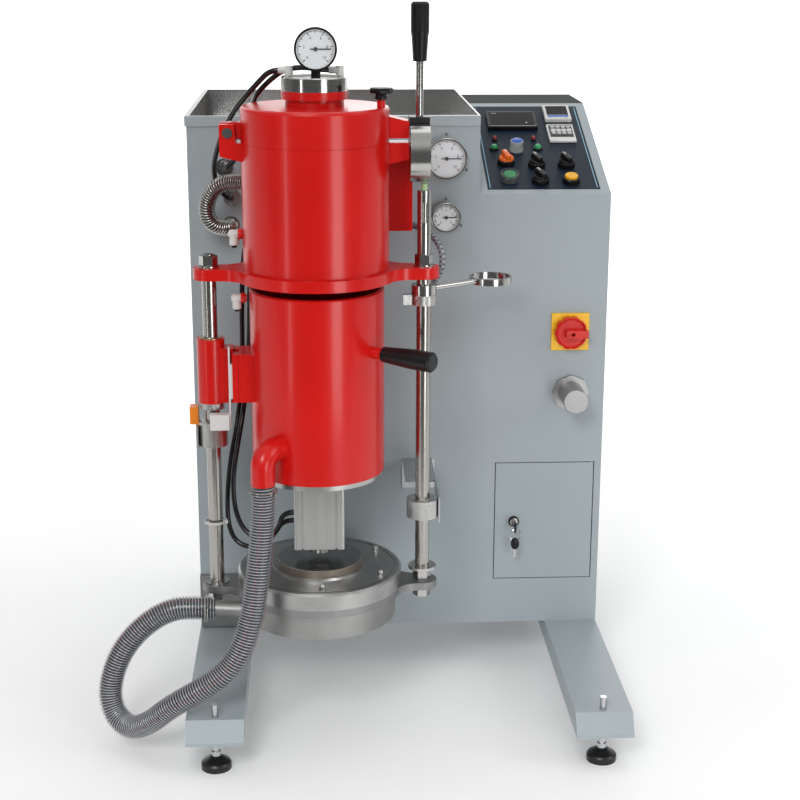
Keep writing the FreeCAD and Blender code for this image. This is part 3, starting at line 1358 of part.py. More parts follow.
def swing_group():
    """Swing sleeve on the left post, the chamber that slides in it, cylinder, rod, handle."""
    sleeve = turned("sleeve_body", [("post_radius+fit_clearance", "0"), ("sleeve_radius", "0"),
                                    ("sleeve_radius", "sleeve_height"),
                                    ("post_radius+fit_clearance", "sleeve_height")],
                    "post_left", "tower_y", "sleeve_z")
    block_z = "sleeve_z+block_rise"
    near = "post_left+sleeve_radius+web_reach"
    split = "post_left+block_reach"
    web = block("sleeve_web", "post_left", "tower_y-web_thick/2", block_z + "-web_rise",
                "sleeve_radius+web_reach+1", "web_thick", "block_height+web_rise+6")
    body = block("sleeve_block", near, "tower_y-block_depth/2", block_z, split + "-(" + near + ")",
                 "block_depth", "block_height")
    groove = block("sleeve_groove", split + "-tongue_depth-slide_gap", "tower_y-tongue_width/2-slide_gap",
                   block_z + "-1", "tongue_depth+slide_gap+1", "tongue_width+2*slide_gap", "block_height+2")
    bore = rod("sleeve_bore", "post_left", "tower_y", "sleeve_z-1", "post_radius+fit_clearance",
               "sleeve_height+2")
    bush_room = turned("bush_rooms", [("post_radius-1", "sleeve_height-bush_height"),
                                      ("bush_radius", "sleeve_height-bush_height"),
                                      ("bush_radius", "sleeve_height+1"),
                                      ("post_radius-1", "sleeve_height+1")],
                       "post_left", "tower_y", "sleeve_z")
    solid = join("sleeve_solid", sleeve, web, body)
    sleeve = carve("sleeve_bored", solid, groove, bore, bush_room)
    bush = turned("sleeve_bush", [("post_radius+fit_clearance", "sleeve_height-bush_height"),
                                  ("bush_radius-fit_clearance", "sleeve_height-bush_height"),
                                  ("bush_radius-fit_clearance", "sleeve_height+1.5"),
                                  ("post_radius+fit_clearance", "sleeve_height+1.5")],
                  "post_left", "tower_y", "sleeve_z")
    piece("swing_sleeve", group("swing_sleeve", sleeve, bush))
    strip_z = "cover_top+left_clamp_rise+strip_rise"
    strip_x = "post_left+left_clamp_radius+strip_out"
    strip_y = "tower_y-web_thick/2-strip_width"
    strip = block("strip_body", strip_x, strip_y, strip_z, "stay_thick", "strip_width", "strip_height")
    box = block("strip_box_body", strip_x + "-strip_box", "tower_y-left_clamp_radius-2-strip_box_depth",
                strip_z, "strip_box", "strip_box_depth", "strip_box_height")
    ear = block("strip_ear", strip_x, strip_y, block_z + "+5", near + "-(" + strip_x + ")", "strip_width",
                "block_height-20")
    piece("switch_trip", join("switch_trip", strip, box, ear))

    tub = turned("lower_tub", [("0", "0"), ("lower_radius", "0"), ("lower_radius", "lower_height-2"),
                               ("lower_radius-2", "lower_height"),
                               ("lower_radius-lower_wall", "lower_height"),
                               ("lower_radius-lower_wall", "lower_floor"), ("0", "lower_floor")],
                 "tower_x", "tower_y", "lower_z")
    guide = block("guide_block", split + "+slide_gap", "tower_y-block_depth/2", block_z,
                  "tower_x-lower_radius+6-(" + split + "+slide_gap)", "block_depth", "block_height")
    tongue = block("guide_tongue", split + "-tongue_depth", "tower_y-tongue_width/2", block_z + "+tongue_low",
                   "tongue_depth+slide_gap+1", "tongue_width", "block_height-tongue_low-tongue_high")
    fill = block("guide_fill", "tower_x-lower_radius+2", "tower_y-block_depth/2", block_z, "10",
                 "block_depth", "block_height")
    room = rod("lower_room", "tower_x", "tower_y", "lower_z+lower_floor", "lower_radius-lower_wall",
               "lower_height")
    elbow = made("vacuum_elbow", pipe(ELBOW, "elbow_radius"))
    elbow_bore = made("elbow_bore", pipe(ELBOW, "elbow_bore_radius"))
    turn = math.radians(size("handle_turn"))
    hx, hy = math.cos(turn), -math.sin(turn)
    stub = made("handle_stub", radial_bar(hx, hy, "lower_radius-lower_wall/2", "handle_stub+lower_wall/2",
                                          "handle_stub_radius"))
    solid = join("lower_solid", tub, guide, tongue, fill, elbow, stub)
    piece("lower_chamber", carve("lower_chamber", solid, room, elbow_bore))
    ring = rod("chamber_ring", "tower_x", "tower_y", "lower_z-ring_height", "lower_radius-ring_inset",
               "ring_height")
    seat = turned("flask_seat", [("seat_radius*0.35", "seat_height-6"), ("seat_radius-5", "seat_height-6"),
                                 ("seat_radius-5", "0"), ("seat_radius", "0"), ("seat_radius", "seat_height"),
                                 ("seat_radius*0.35", "seat_height")],
                  "tower_x", "tower_y", "lower_z+lower_floor")
    piece("flask_seat", seat)

    cylinder(ring)
    hand = made("pull_grip", radial_grip(hx, hy))
    piece("pull_grip", hand)
    rod_z = "cylinder_z-rod_shows"
    bar = turned("piston_rod", [("0", "0"), ("foot_plate_radius", "0"),
                                ("foot_plate_radius", "foot_plate_thick"),
                                ("rod_radius", "foot_plate_thick"), ("rod_radius", "rod_shows+rod_inside"),
                                ("0", "rod_shows+rod_inside")], "tower_x", "tower_y", rod_z)
    piece("piston_rod", bar)


def cylinder(ring):
    """Square lift cylinder under the chamber's ring: two slots in each face, bored for its rod."""
    half = "cylinder_side/2"
    body = block("cylinder_body", "tower_x-" + half, "tower_y-" + half, "cylinder_z", "cylinder_side",
                 "cylinder_side", "cylinder_height")
    shaped = rounded("cylinder_round", body, "cylinder_edge", upright)
    slots = []
    for side in (-1, 1):
        offset = "%d*(%s-cylinder_corner)-slot_width/2" % (side, half)
        for face, (x, y, dx, dy) in {
            "front": ("tower_x+" + offset, "tower_y-" + half + "-1", "slot_width", "slot_depth+1"),
            "back": ("tower_x+" + offset, "tower_y+" + half + "-slot_depth", "slot_width", "slot_depth+1"),
            "left": ("tower_x-" + half + "-1", "tower_y+" + offset, "slot_depth+1", "slot_width"),
            "right": ("tower_x+" + half + "-slot_depth", "tower_y+" + offset, "slot_depth+1", "slot_width"),
        }.items():
            slots.append(block("slot_%s_%s" % (face, "low" if side < 0 else "high"), x, y, "cylinder_z-1",
                               dx, dy, "cylinder_height"))
    bore = rod("cylinder_bore", "tower_x", "tower_y", "cylinder_z-1", "rod_radius+fit_clearance",
               "rod_inside+rod_end_room")
    barrel = carve("cylinder_barrel", shaped, bore, *slots)
    piece("lift_cylinder", group("lift_cylinder", barrel, ring))


def swing_arm():
    """Ring arm that swings about the right post."""
    collar = turned("arm_collar", [("post_radius+fit_clearance", "0"), ("arm_collar_radius", "0"),
                                   ("arm_collar_radius", "arm_collar_height"),
                                   ("post_radius+fit_clearance", "arm_collar_height")],
                    "post_right", "tower_y", "arm_z")
    middle = "arm_z+arm_collar_height/2"
    bar = rod("arm_bar", "post_right", "tower_y", middle, "arm_rod_radius", "arm_length-loop_radius+1")
    bar.Placement = Placement(Vector(), Rotation(Vector(0, 0, 1), size("arm_swing")).multiply(WAYS["right"]))
    for axis, rule in zip("xyz", ("post_right+(post_radius+2)*cos(arm_swing)",
                                  "tower_y+(post_radius+2)*sin(arm_swing)", middle)):
        bind(bar, "Placement.Base." + axis, rule)
    bind(bar, "Height", "arm_length-loop_radius-post_radius")
    loop = turned("arm_loop", [("loop_radius-loop_wall", "-loop_height/2"), ("loop_radius", "-loop_height/2"),
                               ("loop_radius", "loop_height/2"), ("loop_radius-loop_wall", "loop_height/2")],
                  "post_right+arm_length*cos(arm_swing)", "tower_y+arm_length*sin(arm_swing)", middle)
    fitting = rod("gas_fitting", "post_right", "tower_y", middle, "gas_fitting_radius",
                  "gas_fitting_reach-post_radius-2")
    fitting.Placement = Placement(Vector(), Rotation(Vector(0, 0, 1), size("gas_fitting_turn")).multiply(
        WAYS["right"]))
    for axis, rule in zip("xyz", ("post_right+(post_radius+2)*cos(gas_fitting_turn)",
                                  "tower_y+(post_radius+2)*sin(gas_fitting_turn)", middle)):
        bind(fitting, "Placement.Base." + axis, rule)
    piece("ring_arm", join("ring_arm", collar, bar, loop, fitting))


def inside():
    """Induction generator on the cabinet floor."""
    box = block("generator_box", "left+generator_left", "face+generator_back", "under+sheet_steel",
                "generator_width", "generator_depth", "generator_height")
    chokes = [rod("generator_choke_%d" % number, "left+generator_left+generator_width*%s" % share,
                  "face+generator_back+generator_depth/2", "under+sheet_steel+generator_height",
                  "generator_height/5", "generator_height/4") for number, share in enumerate(("0.25", "0.7"))]
    piece("generator", join("generator", box, *chokes))


def point(place):
    """A route point, given from the cabinet's lower left front corner, in the machine's own frame."""
    return Vector(size("left") + place[0], size("face") + place[1], size("under") + place[2])


def route_wire(points):
    """Straight runs joined by arcs, each as large as its two runs allow, and the arc radii."""
    corners = [point(place) for place in points]
    radii = []
    edges = []
    start = corners[0]
    for before, corner, after in zip(corners, corners[1:], corners[2:]):
        to_last = (before - corner).normalize()
        to_next = (after - corner).normalize()
        turn = math.pi - to_last.getAngle(to_next)
        cut = 0.45 * min((before - corner).Length, (after - corner).Length)
        radius = cut / math.tan(turn / 2)
        entry = corner + to_last * cut
        leave = corner + to_next * cut
        middle = (to_last + to_next).normalize()
        top = corner + middle * (radius / math.cos(turn / 2) - radius)
        edges.append(Part.LineSegment(start, entry).toShape())
        edges.append(Part.Arc(entry, top, leave).toShape())
        start = leave
        radii.append(radius)
    edges.append(Part.LineSegment(start, corners[-1]).toShape())
    return Part.Wire(edges), radii


def pipe(points, radius):
    """A round bar along a route."""
    wire, radii = route_wire(points)
    start = wire.Edges[0]
    ring = Part.Wire(Part.makeCircle(rule_value(radius), start.valueAt(start.FirstParameter),
                                     start.tangentAt(start.FirstParameter)))
    return wire.makePipeShell([ring], True, False)


def radial_bar(hx, hy, start, length, radius):
    """A bar that leaves the lower chamber square to its wall."""
    way = Vector(hx, hy, 0)
    foot = Vector(size("tower_x"), size("tower_y"), size("lower_z") + size("handle_rise"))
    return Part.makeCylinder(rule_value(radius), rule_value(length), foot + way * rule_value(start), way)


def radial_grip(hx, hy):
    """The tapered grip of the pull handle, a lathe outline turned about the handle's own axis."""
    length, butt, tip = size("grip_length"), size("grip_butt"), size("grip_tip")
    outline_points = [(0, 0), (tip - 1, 0), (tip, 1), (butt - 0.6, length * 0.5), (butt, length * 0.6),
                      (butt, length - 3), (butt - 3, length), (0, length)]
    wire = Part.makePolygon([Vector(radius, 0, height) for radius, height in outline_points + [(0, 0)]])
    grip = Part.Face(wire).revolve(Vector(), Vector(0, 0, 1), 360)
    foot = Vector(size("tower_x"), size("tower_y"), size("lower_z") + size("handle_rise"))
    way = Vector(hx, hy, 0)
    grip.Placement = Placement(foot + way * (size("lower_radius") + size("handle_stub")),
                               Rotation(Vector(0, 0, 1), way))
    return grip


def hoses():
    """Free hoses and tubes, each cut where the joint that carries its end would shear it."""
    high = halves("hose_cut", "vacuum_hose_cut", 2)
    lid_side = halves("lid_cut", "lid_tube_cut", 1)
    swing_side = halves("swing_cut", "air_tube_cut", 2)
    arm_side = halves("arm_cut", "gas_hose_cut", 2)
    top, bottom = free_hose("vacuum_hose", [VACUUM_HOSE], "vacuum_hose_radius", high)
    piece("vacuum_hose_top", group("vacuum_hose_top", *top))
    piece("vacuum_hose", group("vacuum_hose", *bottom))
    fixed_lid, moving_lid = free_hose("lid_tube", LID_TUBES, "air_tube_radius", lid_side)
    fixed_air, moving_air = free_hose("air_tube", AIR_TUBES, "air_tube_radius", swing_side)
    piece("lid_tubes", group("lid_tubes", *moving_lid))
    piece("swing_tubes", group("swing_tubes", *moving_air))
    piece("air_tubes", group("air_tubes", *fixed_lid, *fixed_air))
    fixed_gas, moving_gas = free_hose("gas_hose", [GAS_HOSE], "gas_hose_radius", arm_side)
    piece("gas_hose", group("gas_hose", *fixed_gas))
    piece("gas_hose_end", group("gas_hose_end", *moving_gas))
    piece("metal_hose", made("metal_hose", ribbed(METAL_HOSE)))


def halves(name, place, axis):
    """Two big blocks that meet at a plane across Y (axis 1) or Z (axis 2), the far one first."""
    blocks = []
    for side in ("far", "near"):
        corner = ["-cut_room", "-cut_room", "-cut_room"]
        shift = "+hose_joint_gap/2" if side == "far" else "-hose_joint_gap/2-2*cut_room"
        corner[axis] = place + shift
        blocks.append(block(name + "_" + side, *corner, "2*cut_room", "2*cut_room", "2*cut_room"))
    return blocks


def free_hose(name, routes, radius, cutters):
    """Sweeps each route, then cuts it into the stretch past the plane and the one before it."""
    past, before = [], []
    for number, points in enumerate(routes):
        wire, radii = route_wire(points)
        shape = pipe(points, radius)
        section = math.pi * size(radius) ** 2
        print("%s_%d" % (name, number), "length %.0f" % wire.Length,
              "volume ratio %.4f" % (shape.Volume / (section * wire.Length)),
              "radii", [round(value) for value in radii],
              "runs", [round((point(b) - point(a)).Length) for a, b in zip(points, points[1:])],
              "lowest %.1f" % shape.BoundBox.ZMin)
        tube = made("%s_%d" % (name, number), shape)
        for pieces, cutter in ((past, cutters[0]), (before, cutters[1])):
            part = doc.addObject("Part::Common", "%s_%d_%s" % (name, number, cutter.Name))
            part.Base = tube
            part.Tool = cutter
            pieces.append(part)
    return past, before


def ribbed(points):
    """A ribbed hose: a ruled loft through four circles for each rib, with its bore cut out."""
    wire, radii = route_wire(points)
    ribs = int(size("metal_hose_ribs"))
    crest, root = size("metal_hose_radius"), size("metal_hose_root")
    circles = []
    across = Vector(0, 0, 1)
    for number in range(ribs * 4 + 1):
        share = number / (ribs * 4)
        place, way = along(wire, share)
        across = (across - way * across.dot(way)).normalize()
        radius = crest if number % 4 in (2, 3) else root
        ring = Part.Circle(Vector(), Vector(0, 0, 1), radius).toShape()
        turn = Rotation(across, way.cross(across), way, "ZXY")
        ring.Placement = Placement(place, turn)
        circles.append(Part.Wire(ring))
    skin = Part.makeLoft(circles, True, True)
    print("metal_hose length %.0f" % wire.Length, "radii", [round(value) for value in radii])
    return skin.cut(pipe(points, "metal_hose_bore"))


def along(wire, share):
    """The point and the direction at a share of a wire's length."""
    target = share * wire.Length
    for edge in wire.Edges:
        if target <= edge.Length + 1e-6:
            spot = edge.getParameterByLength(min(target, edge.Length))
            return edge.valueAt(spot), edge.tangentAt(spot).normalize()
        target -= edge.Length
    last = wire.Edges[-1]
    return last.valueAt(last.LastParameter), last.tangentAt(last.LastParameter).normalize()


def small_fasteners():
    """Dome nuts of the base cover, the screws of the gauges and the fasteners kept so far."""
    nuts = []
    count = int(size("cover_screw_count"))
    for number in range(count):
        angle = "360/cover_screw_count*%d+cover_screw_turn" % number
        nuts.append(turned("cover_nut_%d" % number,
                           [("0", "0"), ("cover_screw_radius", "0"), ("cover_screw_radius", "3"),
                            ("cover_screw_radius-1", "3.5"), ("cover_screw_radius-1.2", "6"),
                            ("cover_screw_radius-3", "8.5"), ("0", "9")],
                           "tower_x+cover_screw_circle*cos(" + angle + ")",
                           "tower_y+cover_screw_circle*sin(" + angle + ")", "cover_top"))
    for name, z, radius in (("big", "under+gauge_z", "gauge_radius"),
                            ("small", "under+small_gauge_z", "small_gauge_radius")):
        for number, angle in enumerate(("90", "-30", "210")):
            nuts.append(rod("gauge_screw_%s_%d" % (name, number),
                            "left+gauge_x+(%s+gauge_screw_out)*cos(%s)" % (radius, angle), "face",
                            "%s+(%s+gauge_screw_out)*sin(%s)" % (z, radius, angle), "gauge_screw_radius",
                            "gauge_screw_head", "front"))
    piece("fasteners", group("fasteners", *nuts, *PINS))


def write_parts():
    """Checks every feature and sub-part, then writes one STEP file for each sub-part."""
    doc.recompute()
    for thing in doc.Objects:
        state = [word for word in thing.State if word in ("Invalid", "Error")]
        assert not state, "%s is %s" % (thing.Name, state)
    os.makedirs("parts", exist_ok=True)
    whole = FreeCAD.BoundBox()
    for thing in PIECES:
        shape = thing.Shape
        assert not shape.isNull() and shape.isValid(), thing.Label + " has no valid shape"
        shape.exportStep("parts/%s.step" % thing.Label)
        whole.add(shape.BoundBox)
        box = shape.BoundBox
        print("%-20s solids %2d volume %9.0f  x %6.1f %6.1f  y %6.1f %6.1f  z %6.1f %6.1f" % (
            thing.Label, len(shape.Solids), shape.Volume, box.XMin, box.XMax, box.YMin, box.YMax, box.ZMin,
            box.ZMax))
    print(len(PIECES), "sub-parts", whole)


def main():
    fill_sheet()
    for make in (cabinet, console, legs, door, base, posts, switches, upper_tower, lid_group,
                 face_fittings, lever, swing_group, swing_arm, inside, small_fasteners, hoses):
        make()
    write_parts()


main()
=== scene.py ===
import math

import bmesh
import bpy
from mathutils import Matrix, Vector


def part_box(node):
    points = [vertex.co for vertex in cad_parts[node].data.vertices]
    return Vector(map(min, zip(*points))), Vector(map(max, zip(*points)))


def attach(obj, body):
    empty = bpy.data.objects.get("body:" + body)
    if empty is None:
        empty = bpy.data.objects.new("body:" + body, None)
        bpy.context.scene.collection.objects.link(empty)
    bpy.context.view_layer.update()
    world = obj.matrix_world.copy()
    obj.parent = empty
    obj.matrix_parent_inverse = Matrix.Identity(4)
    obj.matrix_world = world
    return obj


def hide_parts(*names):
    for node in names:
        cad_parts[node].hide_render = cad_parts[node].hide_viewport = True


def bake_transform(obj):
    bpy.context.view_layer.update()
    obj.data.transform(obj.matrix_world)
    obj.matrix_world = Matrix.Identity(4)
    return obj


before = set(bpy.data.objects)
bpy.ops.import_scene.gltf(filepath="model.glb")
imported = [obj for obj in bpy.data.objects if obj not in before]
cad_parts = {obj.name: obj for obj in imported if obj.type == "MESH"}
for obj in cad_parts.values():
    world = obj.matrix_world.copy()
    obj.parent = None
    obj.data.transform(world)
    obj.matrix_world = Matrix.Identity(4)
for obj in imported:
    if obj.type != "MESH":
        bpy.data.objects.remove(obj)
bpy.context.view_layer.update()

# Lengths are millimetres, apart from those of the camera, the floor and the lights, in metres.
MM = 0.001
FULL_TURN = 2 * math.pi
TOWER = (-135.0, -245.5)  # the casting tower's axis
POST = (-296.0, -245.5)  # the left post's axis
CORNER = (-340.0, -55.5, 85.0)  # the cabinet's lower left front corner
CONSOLE = (127.0, -55.5, 825.8)  # the lower left corner of the sloping console
SLOPE = math.radians(20.2)  # the console's slope above the level
LOCK = (194.0, -55.5, 269.0)  # the middle of the door lock, on the door's face
EVEN = (1, 1, 1)  # a pattern's stretch where it is the same each way
COAT_ROUGHNESS = 0.12


def point(x, y, z):
    """A point in metres from its millimetres."""
    return Vector((x, y, z)) * MM


def on_machine(x, y, z):
    """A point counted from the cabinet's corner, as the hoses' routes are."""
    return point(x + CORNER[0], y + CORNER[1], z + CORNER[2])


# ---------------------------------------------------------------- materials


class Finish:
    """One procedural material: a colour broken up by noise, with grain, zones and bump."""

    def __init__(self, name, colour, rough, metal=0.0, coat=0.0, alpha=1.0, gloss=0.5):
        self.material = bpy.data.materials.new(name)
        self.material.use_nodes = True
        self.tree = self.material.node_tree
        self.shader = next(n for n in self.tree.nodes if n.type == "BSDF_PRINCIPLED")
        self.shader.inputs["Coat Weight"].default_value = coat
        self.shader.inputs["Coat Roughness"].default_value = COAT_ROUGHNESS
        self.shader.inputs["Specular IOR Level"].default_value = gloss
        self.shader.inputs["Alpha"].default_value = alpha
        self.place = self.add("ShaderNodeTexCoord").outputs["Object"]
        self.colour = self.constant_colour(colour)
        self.rough = self.number(rough)
        self.metal = self.number(metal)
        self.bump = None

    def add(self, kind, **settings):
        node = self.tree.nodes.new(kind)
        for key, value in settings.items():
            setattr(node, key, value)
        return node

    def link(self, source, target):
        self.tree.links.new(source, target)

    def number(self, value):
        node = self.add("ShaderNodeValue")
        node.outputs[0].default_value = value
        return node.outputs[0]

    def constant_colour(self, colour):
        node = self.add("ShaderNodeRGB")
        node.outputs[0].default_value = (*colour, 1)
        return node.outputs[0]

    def maths(self, operation, first, second=0.0, clamp=False):
        node = self.add("ShaderNodeMath", operation=operation, use_clamp=clamp)
        for socket, value in zip(node.inputs, (first, second)):
            if isinstance(value, (int, float)):
                socket.default_value = value
            else:
                self.link(value, socket)
        return node.outputs[0]

    def mix_colour(self, factor, first, second):
        node = self.add("ShaderNodeMix", data_type="RGBA")
        self.link(factor, node.inputs["Factor"])
        self.link(first, node.inputs[6])
        self.link(second, node.inputs[7])
        return node.outputs[2]

    def mix_number(self, factor, first, second):
        node = self.add("ShaderNodeMix", data_type="FLOAT")
        self.link(factor, node.inputs["Factor"])
        self.link(first, node.inputs[2])
        self.link(second, node.inputs[3])
        return node.outputs[0]

    def spread(self, signal, come, go, **settings):
        """A signal taken from one range to another."""
        node = self.add("ShaderNodeMapRange", **settings)
        self.link(signal, node.inputs["Value"])
        for socket, value in zip(("From Min", "From Max", "To Min", "To Max"), (*come, *go)):
            node.inputs[socket].default_value = value
        return node.outputs[0]

    def along(self, direction):
        """How far a spot lies along a direction, in metres."""
        node = self.add("ShaderNodeVectorMath", operation="DOT_PRODUCT")
        self.link(self.place, node.inputs[0])
        node.inputs[1].default_value = direction
        return node.outputs["Value"]

    def from_axis(self, x, y):
        """How far a spot lies from a standing axis, in metres."""
        across = self.maths("SUBTRACT", self.along((1, 0, 0)), x * MM)
        back = self.maths("SUBTRACT", self.along((0, 1, 0)), y * MM)
        squares = self.maths("ADD", self.maths("MULTIPLY", across, across),
                             self.maths("MULTIPLY", back, back))
        return self.maths("SQRT", squares)

    def noise(self, scale, stretch=EVEN):
        source = self.place
        if stretch != EVEN:
            node = self.add("ShaderNodeVectorMath", operation="MULTIPLY")
            self.link(source, node.inputs[0])
            node.inputs[1].default_value = stretch
            source = node.outputs[0]
        node = self.add("ShaderNodeTexNoise")
        self.link(source, node.inputs["Vector"])
        node.inputs["Scale"].default_value = scale
        node.inputs["Detail"].default_value = 3.0
        return node.outputs["Fac"]

    def cloud(self, amount, scale, stretch=EVEN, roughen=0.0):
        """Breaks the colour up by a noise, lighter and darker, and the roughness with it."""
        shade = self.noise(scale, stretch)
        dark = self.add("ShaderNodeMix", data_type="RGBA", blend_type="MULTIPLY")
        dark.inputs["Factor"].default_value = 1.0
        self.link(self.colour, dark.inputs[6])
        factor = self.spread(shade, (0.3, 0.7), (1 - amount, 1 + amount * 0.4))
        self.link(factor, dark.inputs[7])
        self.colour = dark.outputs[2]
        if roughen:
            lift = self.maths("MULTIPLY", self.maths("SUBTRACT", shade, 0.5), roughen)
            self.rough = self.maths("ADD", self.rough, lift, clamp=True)
        return self

    def zone(self, distance, low, high, colour, rough, metal=0.0):
        """Another colour and finish where the distance lies between low and high millimetres."""
        above = self.maths("GREATER_THAN", distance, low * MM)
        below = self.maths("LESS_THAN", distance, high * MM)
        inside = self.maths("MULTIPLY", above, below)
        self.colour = self.mix_colour(inside, self.colour, self.constant_colour(colour))
        self.rough = self.mix_number(inside, self.rough, self.number(rough))
        if self.metal.node.type != "VALUE" or self.metal.default_value != metal:
            self.metal = self.mix_number(inside, self.metal, self.number(metal))
        return self

    def height(self, signal, strength, depth):
        """Adds a signal to the bump, its depth in millimetres."""
        node = self.add("ShaderNodeBump")
        node.inputs["Strength"].default_value = strength
        node.inputs["Distance"].default_value = depth * MM
        self.link(signal, node.inputs["Height"])
        if self.bump:
            self.link(self.bump, node.inputs["Normal"])
        self.bump = node.outputs["Normal"]
        return self

    def grain(self, strength, scale, depth=0.1, stretch=EVEN):
        """A fine noise in the bump."""
        return self.height(self.noise(scale, stretch), strength, depth)

    def wave(self, distance, pitch, strength, depth):
        """Even ridges in the bump, a pitch apart."""
        turns = self.maths("MULTIPLY", distance, FULL_TURN / (pitch * MM))
        return self.height(self.maths("SINE", turns), strength, depth)

    def done(self):
        """Joins the shader up; what is the same all over is set on its own sockets."""
        for socket, source in (("Base Color", self.colour), ("Roughness", self.rough),
                               ("Metallic", self.metal), ("Normal", self.bump)):
            if source is None:
                continue
            if source.node.type in ("RGB", "VALUE"):
                self.shader.inputs[socket].default_value = source.default_value
            else:
                self.link(source, self.shader.inputs[socket])
        return self.material


RED = (0.58, 0.006, 0.004)
GREY_PAINT = (0.335, 0.385, 0.405)
STEEL = (0.50, 0.495, 0.48)
ZINC = (0.58, 0.59, 0.60)
BLACK = (0.006, 0.006, 0.007)
WHITE = (0.66, 0.66, 0.64)
NAVY = (0.008, 0.017, 0.030)
UP = (0, 0, 1)
ACROSS = (1, 0, 0)
BACK = (0, 1, 0)


def enamel(name):
    """Red gloss enamel."""
    made = Finish(name, RED, 0.30, coat=0.22, gloss=0.30).cloud(0.08, 7, roughen=0.10)
    return made.grain(0.10, 160, 0.12)


def satin(name, colour=GREY_PAINT, gloss=0.35):
    """Satin paint on sheet steel."""
    made = Finish(name, colour, 0.42, gloss=gloss).cloud(0.06, 5, roughen=0.10)
    return made.grain(0.10, 1400, 0.05)


def bright(name, colour, rough, stretch=(0.04, 0.04, 1), scale=900):
    """Bright metal, its brushing drawn out by the stretch."""
    made = Finish(name, colour, rough, metal=1.0).cloud(0.08, scale, stretch, roughen=0.10)
    return made.grain(0.06, scale, 0.03, stretch)


def turned(name, colour, rough, pitch=1.3):
    """Metal with turning marks round the tower's axis."""
    made = Finish(name, colour, rough, metal=1.0).cloud(0.14, 30, roughen=0.2)
    return made.wave(made.from_axis(*TOWER), pitch, 0.35, 0.12)


def moulded(name, colour=BLACK, rough=0.34, coat=0.0):
    """Plastic and rubber."""
    made = Finish(name, colour, rough, coat=coat, gloss=0.30).cloud(0.12, 60, roughen=0.12)
    return made.grain(0.10, 1800, 0.05)


def clear(name, colour, alpha, rough):
    """See-through plastic and glass."""
    return Finish(name, colour, rough, coat=0.2, alpha=alpha).cloud(0.05, 40)


STUFF = {
    "red": enamel("red_enamel").done(),
    "grey": satin("grey_paint").done(),
    "panel": satin("console_paint", NAVY, 0.12).done(),
    "post": bright("ground_steel", (0.41, 0.395, 0.37), 0.22).done(),
    "steel": bright("polished_steel", STEEL, 0.16, (0.2, 0.2, 1), 400).done(),
    "bellows": bright("bellows_steel", (0.42, 0.41, 0.39), 0.24, EVEN, 300).done(),
    "machined": turned("machined_steel", STEEL, 0.26, pitch=0.7).done(),
    "cast": Finish("cast_aluminium", (0.30, 0.30, 0.30), 0.46, metal=0.9)
    .cloud(0.15, 40, roughen=0.2).grain(0.4, 500, 0.12).done(),
    "pot": Finish("turned_pot", (0.36, 0.36, 0.35), 0.48, metal=1.0)
    .cloud(0.12, 30, roughen=0.15).grain(0.3, 700, 0.06, (0.05, 0.05, 1)).done(),
    "cover": turned("turned_cover", (0.43, 0.43, 0.42), 0.36).done(),
    "anodised": bright("anodised_profile", (0.46, 0.46, 0.45), 0.30, (1, 1, 0.03), 300).done(),
    "black": moulded("black_plastic").done(),
    "rubber": moulded("black_rubber", (0.02, 0.02, 0.02), 0.6).done(),
    "white": moulded("white_plastic", WHITE, 0.35, 0.2).done(),
    "blue": moulded("blue_plastic", (0.005, 0.08, 0.42), 0.4).done(),
    "dial_grey": moulded("pale_grey_plastic", (0.42, 0.44, 0.44), 0.36).done(),
    "orange": moulded("orange_plastic", (0.78, 0.13, 0.004), 0.30, 0.3).done(),
    "green": moulded("green_plastic", (0.01, 0.22, 0.06), 0.26, 0.3).done(),
    "yellow": moulded("yellow_plastic", (0.86, 0.42, 0.01), 0.32, 0.3).done(),
    "red_plastic": moulded("red_plastic", (0.62, 0.02, 0.015), 0.30, 0.3).done(),
    "red_lamp": Finish("red_lamp", (0.30, 0.012, 0.012), 0.15, coat=0.4)
    .cloud(0.2, 300).done(),
    "green_lamp": Finish("green_lamp", (0.01, 0.30, 0.09), 0.16, coat=0.4)
    .cloud(0.2, 300).done(),
    "screen": Finish("dark_screen", (0.003, 0.003, 0.004), 0.12, gloss=0.25).cloud(0.2, 50).done(),
    "dial": Finish("dial_face", (0.74, 0.78, 0.80), 0.5, gloss=0.1)
    .cloud(0.04, 40).grain(0.05, 900).done(),
    "ink": moulded("dial_ink", (0.01, 0.01, 0.01), 0.5).done(),
    "line": moulded("pale_blue_line", (0.25, 0.50, 0.66), 0.4).done(),
    "glass": clear("gauge_glass", (0.9, 0.92, 0.95), 0.04, 0.05).done(),
    "hose_wall": clear("clear_hose_wall", (0.20, 0.21, 0.24), 0.14, 0.11).done(),
    "hose_core": Finish("hose_inside", (0.030, 0.032, 0.036), 0.30, coat=0.2)
    .cloud(0.5, 60, roughen=0.2).done(),
    "wire": Finish("hose_wire", (0.56, 0.57, 0.60), 0.30, metal=0.7).cloud(0.10, 80).done(),
    "tube": moulded("black_tube", BLACK, 0.22, 0.3).done(),
    "braid": moulded("braided_cover", (0.36, 0.38, 0.42), 0.45).done(),
    "copper": bright("copper_coil", (0.72, 0.28, 0.13), 0.25, EVEN, 120).done(),
    "graphite": moulded("graphite", (0.05, 0.05, 0.052), 0.55).done(),
    "ceramic": moulded("ceramic_lining", (0.74, 0.70, 0.62), 0.8).done(),
}

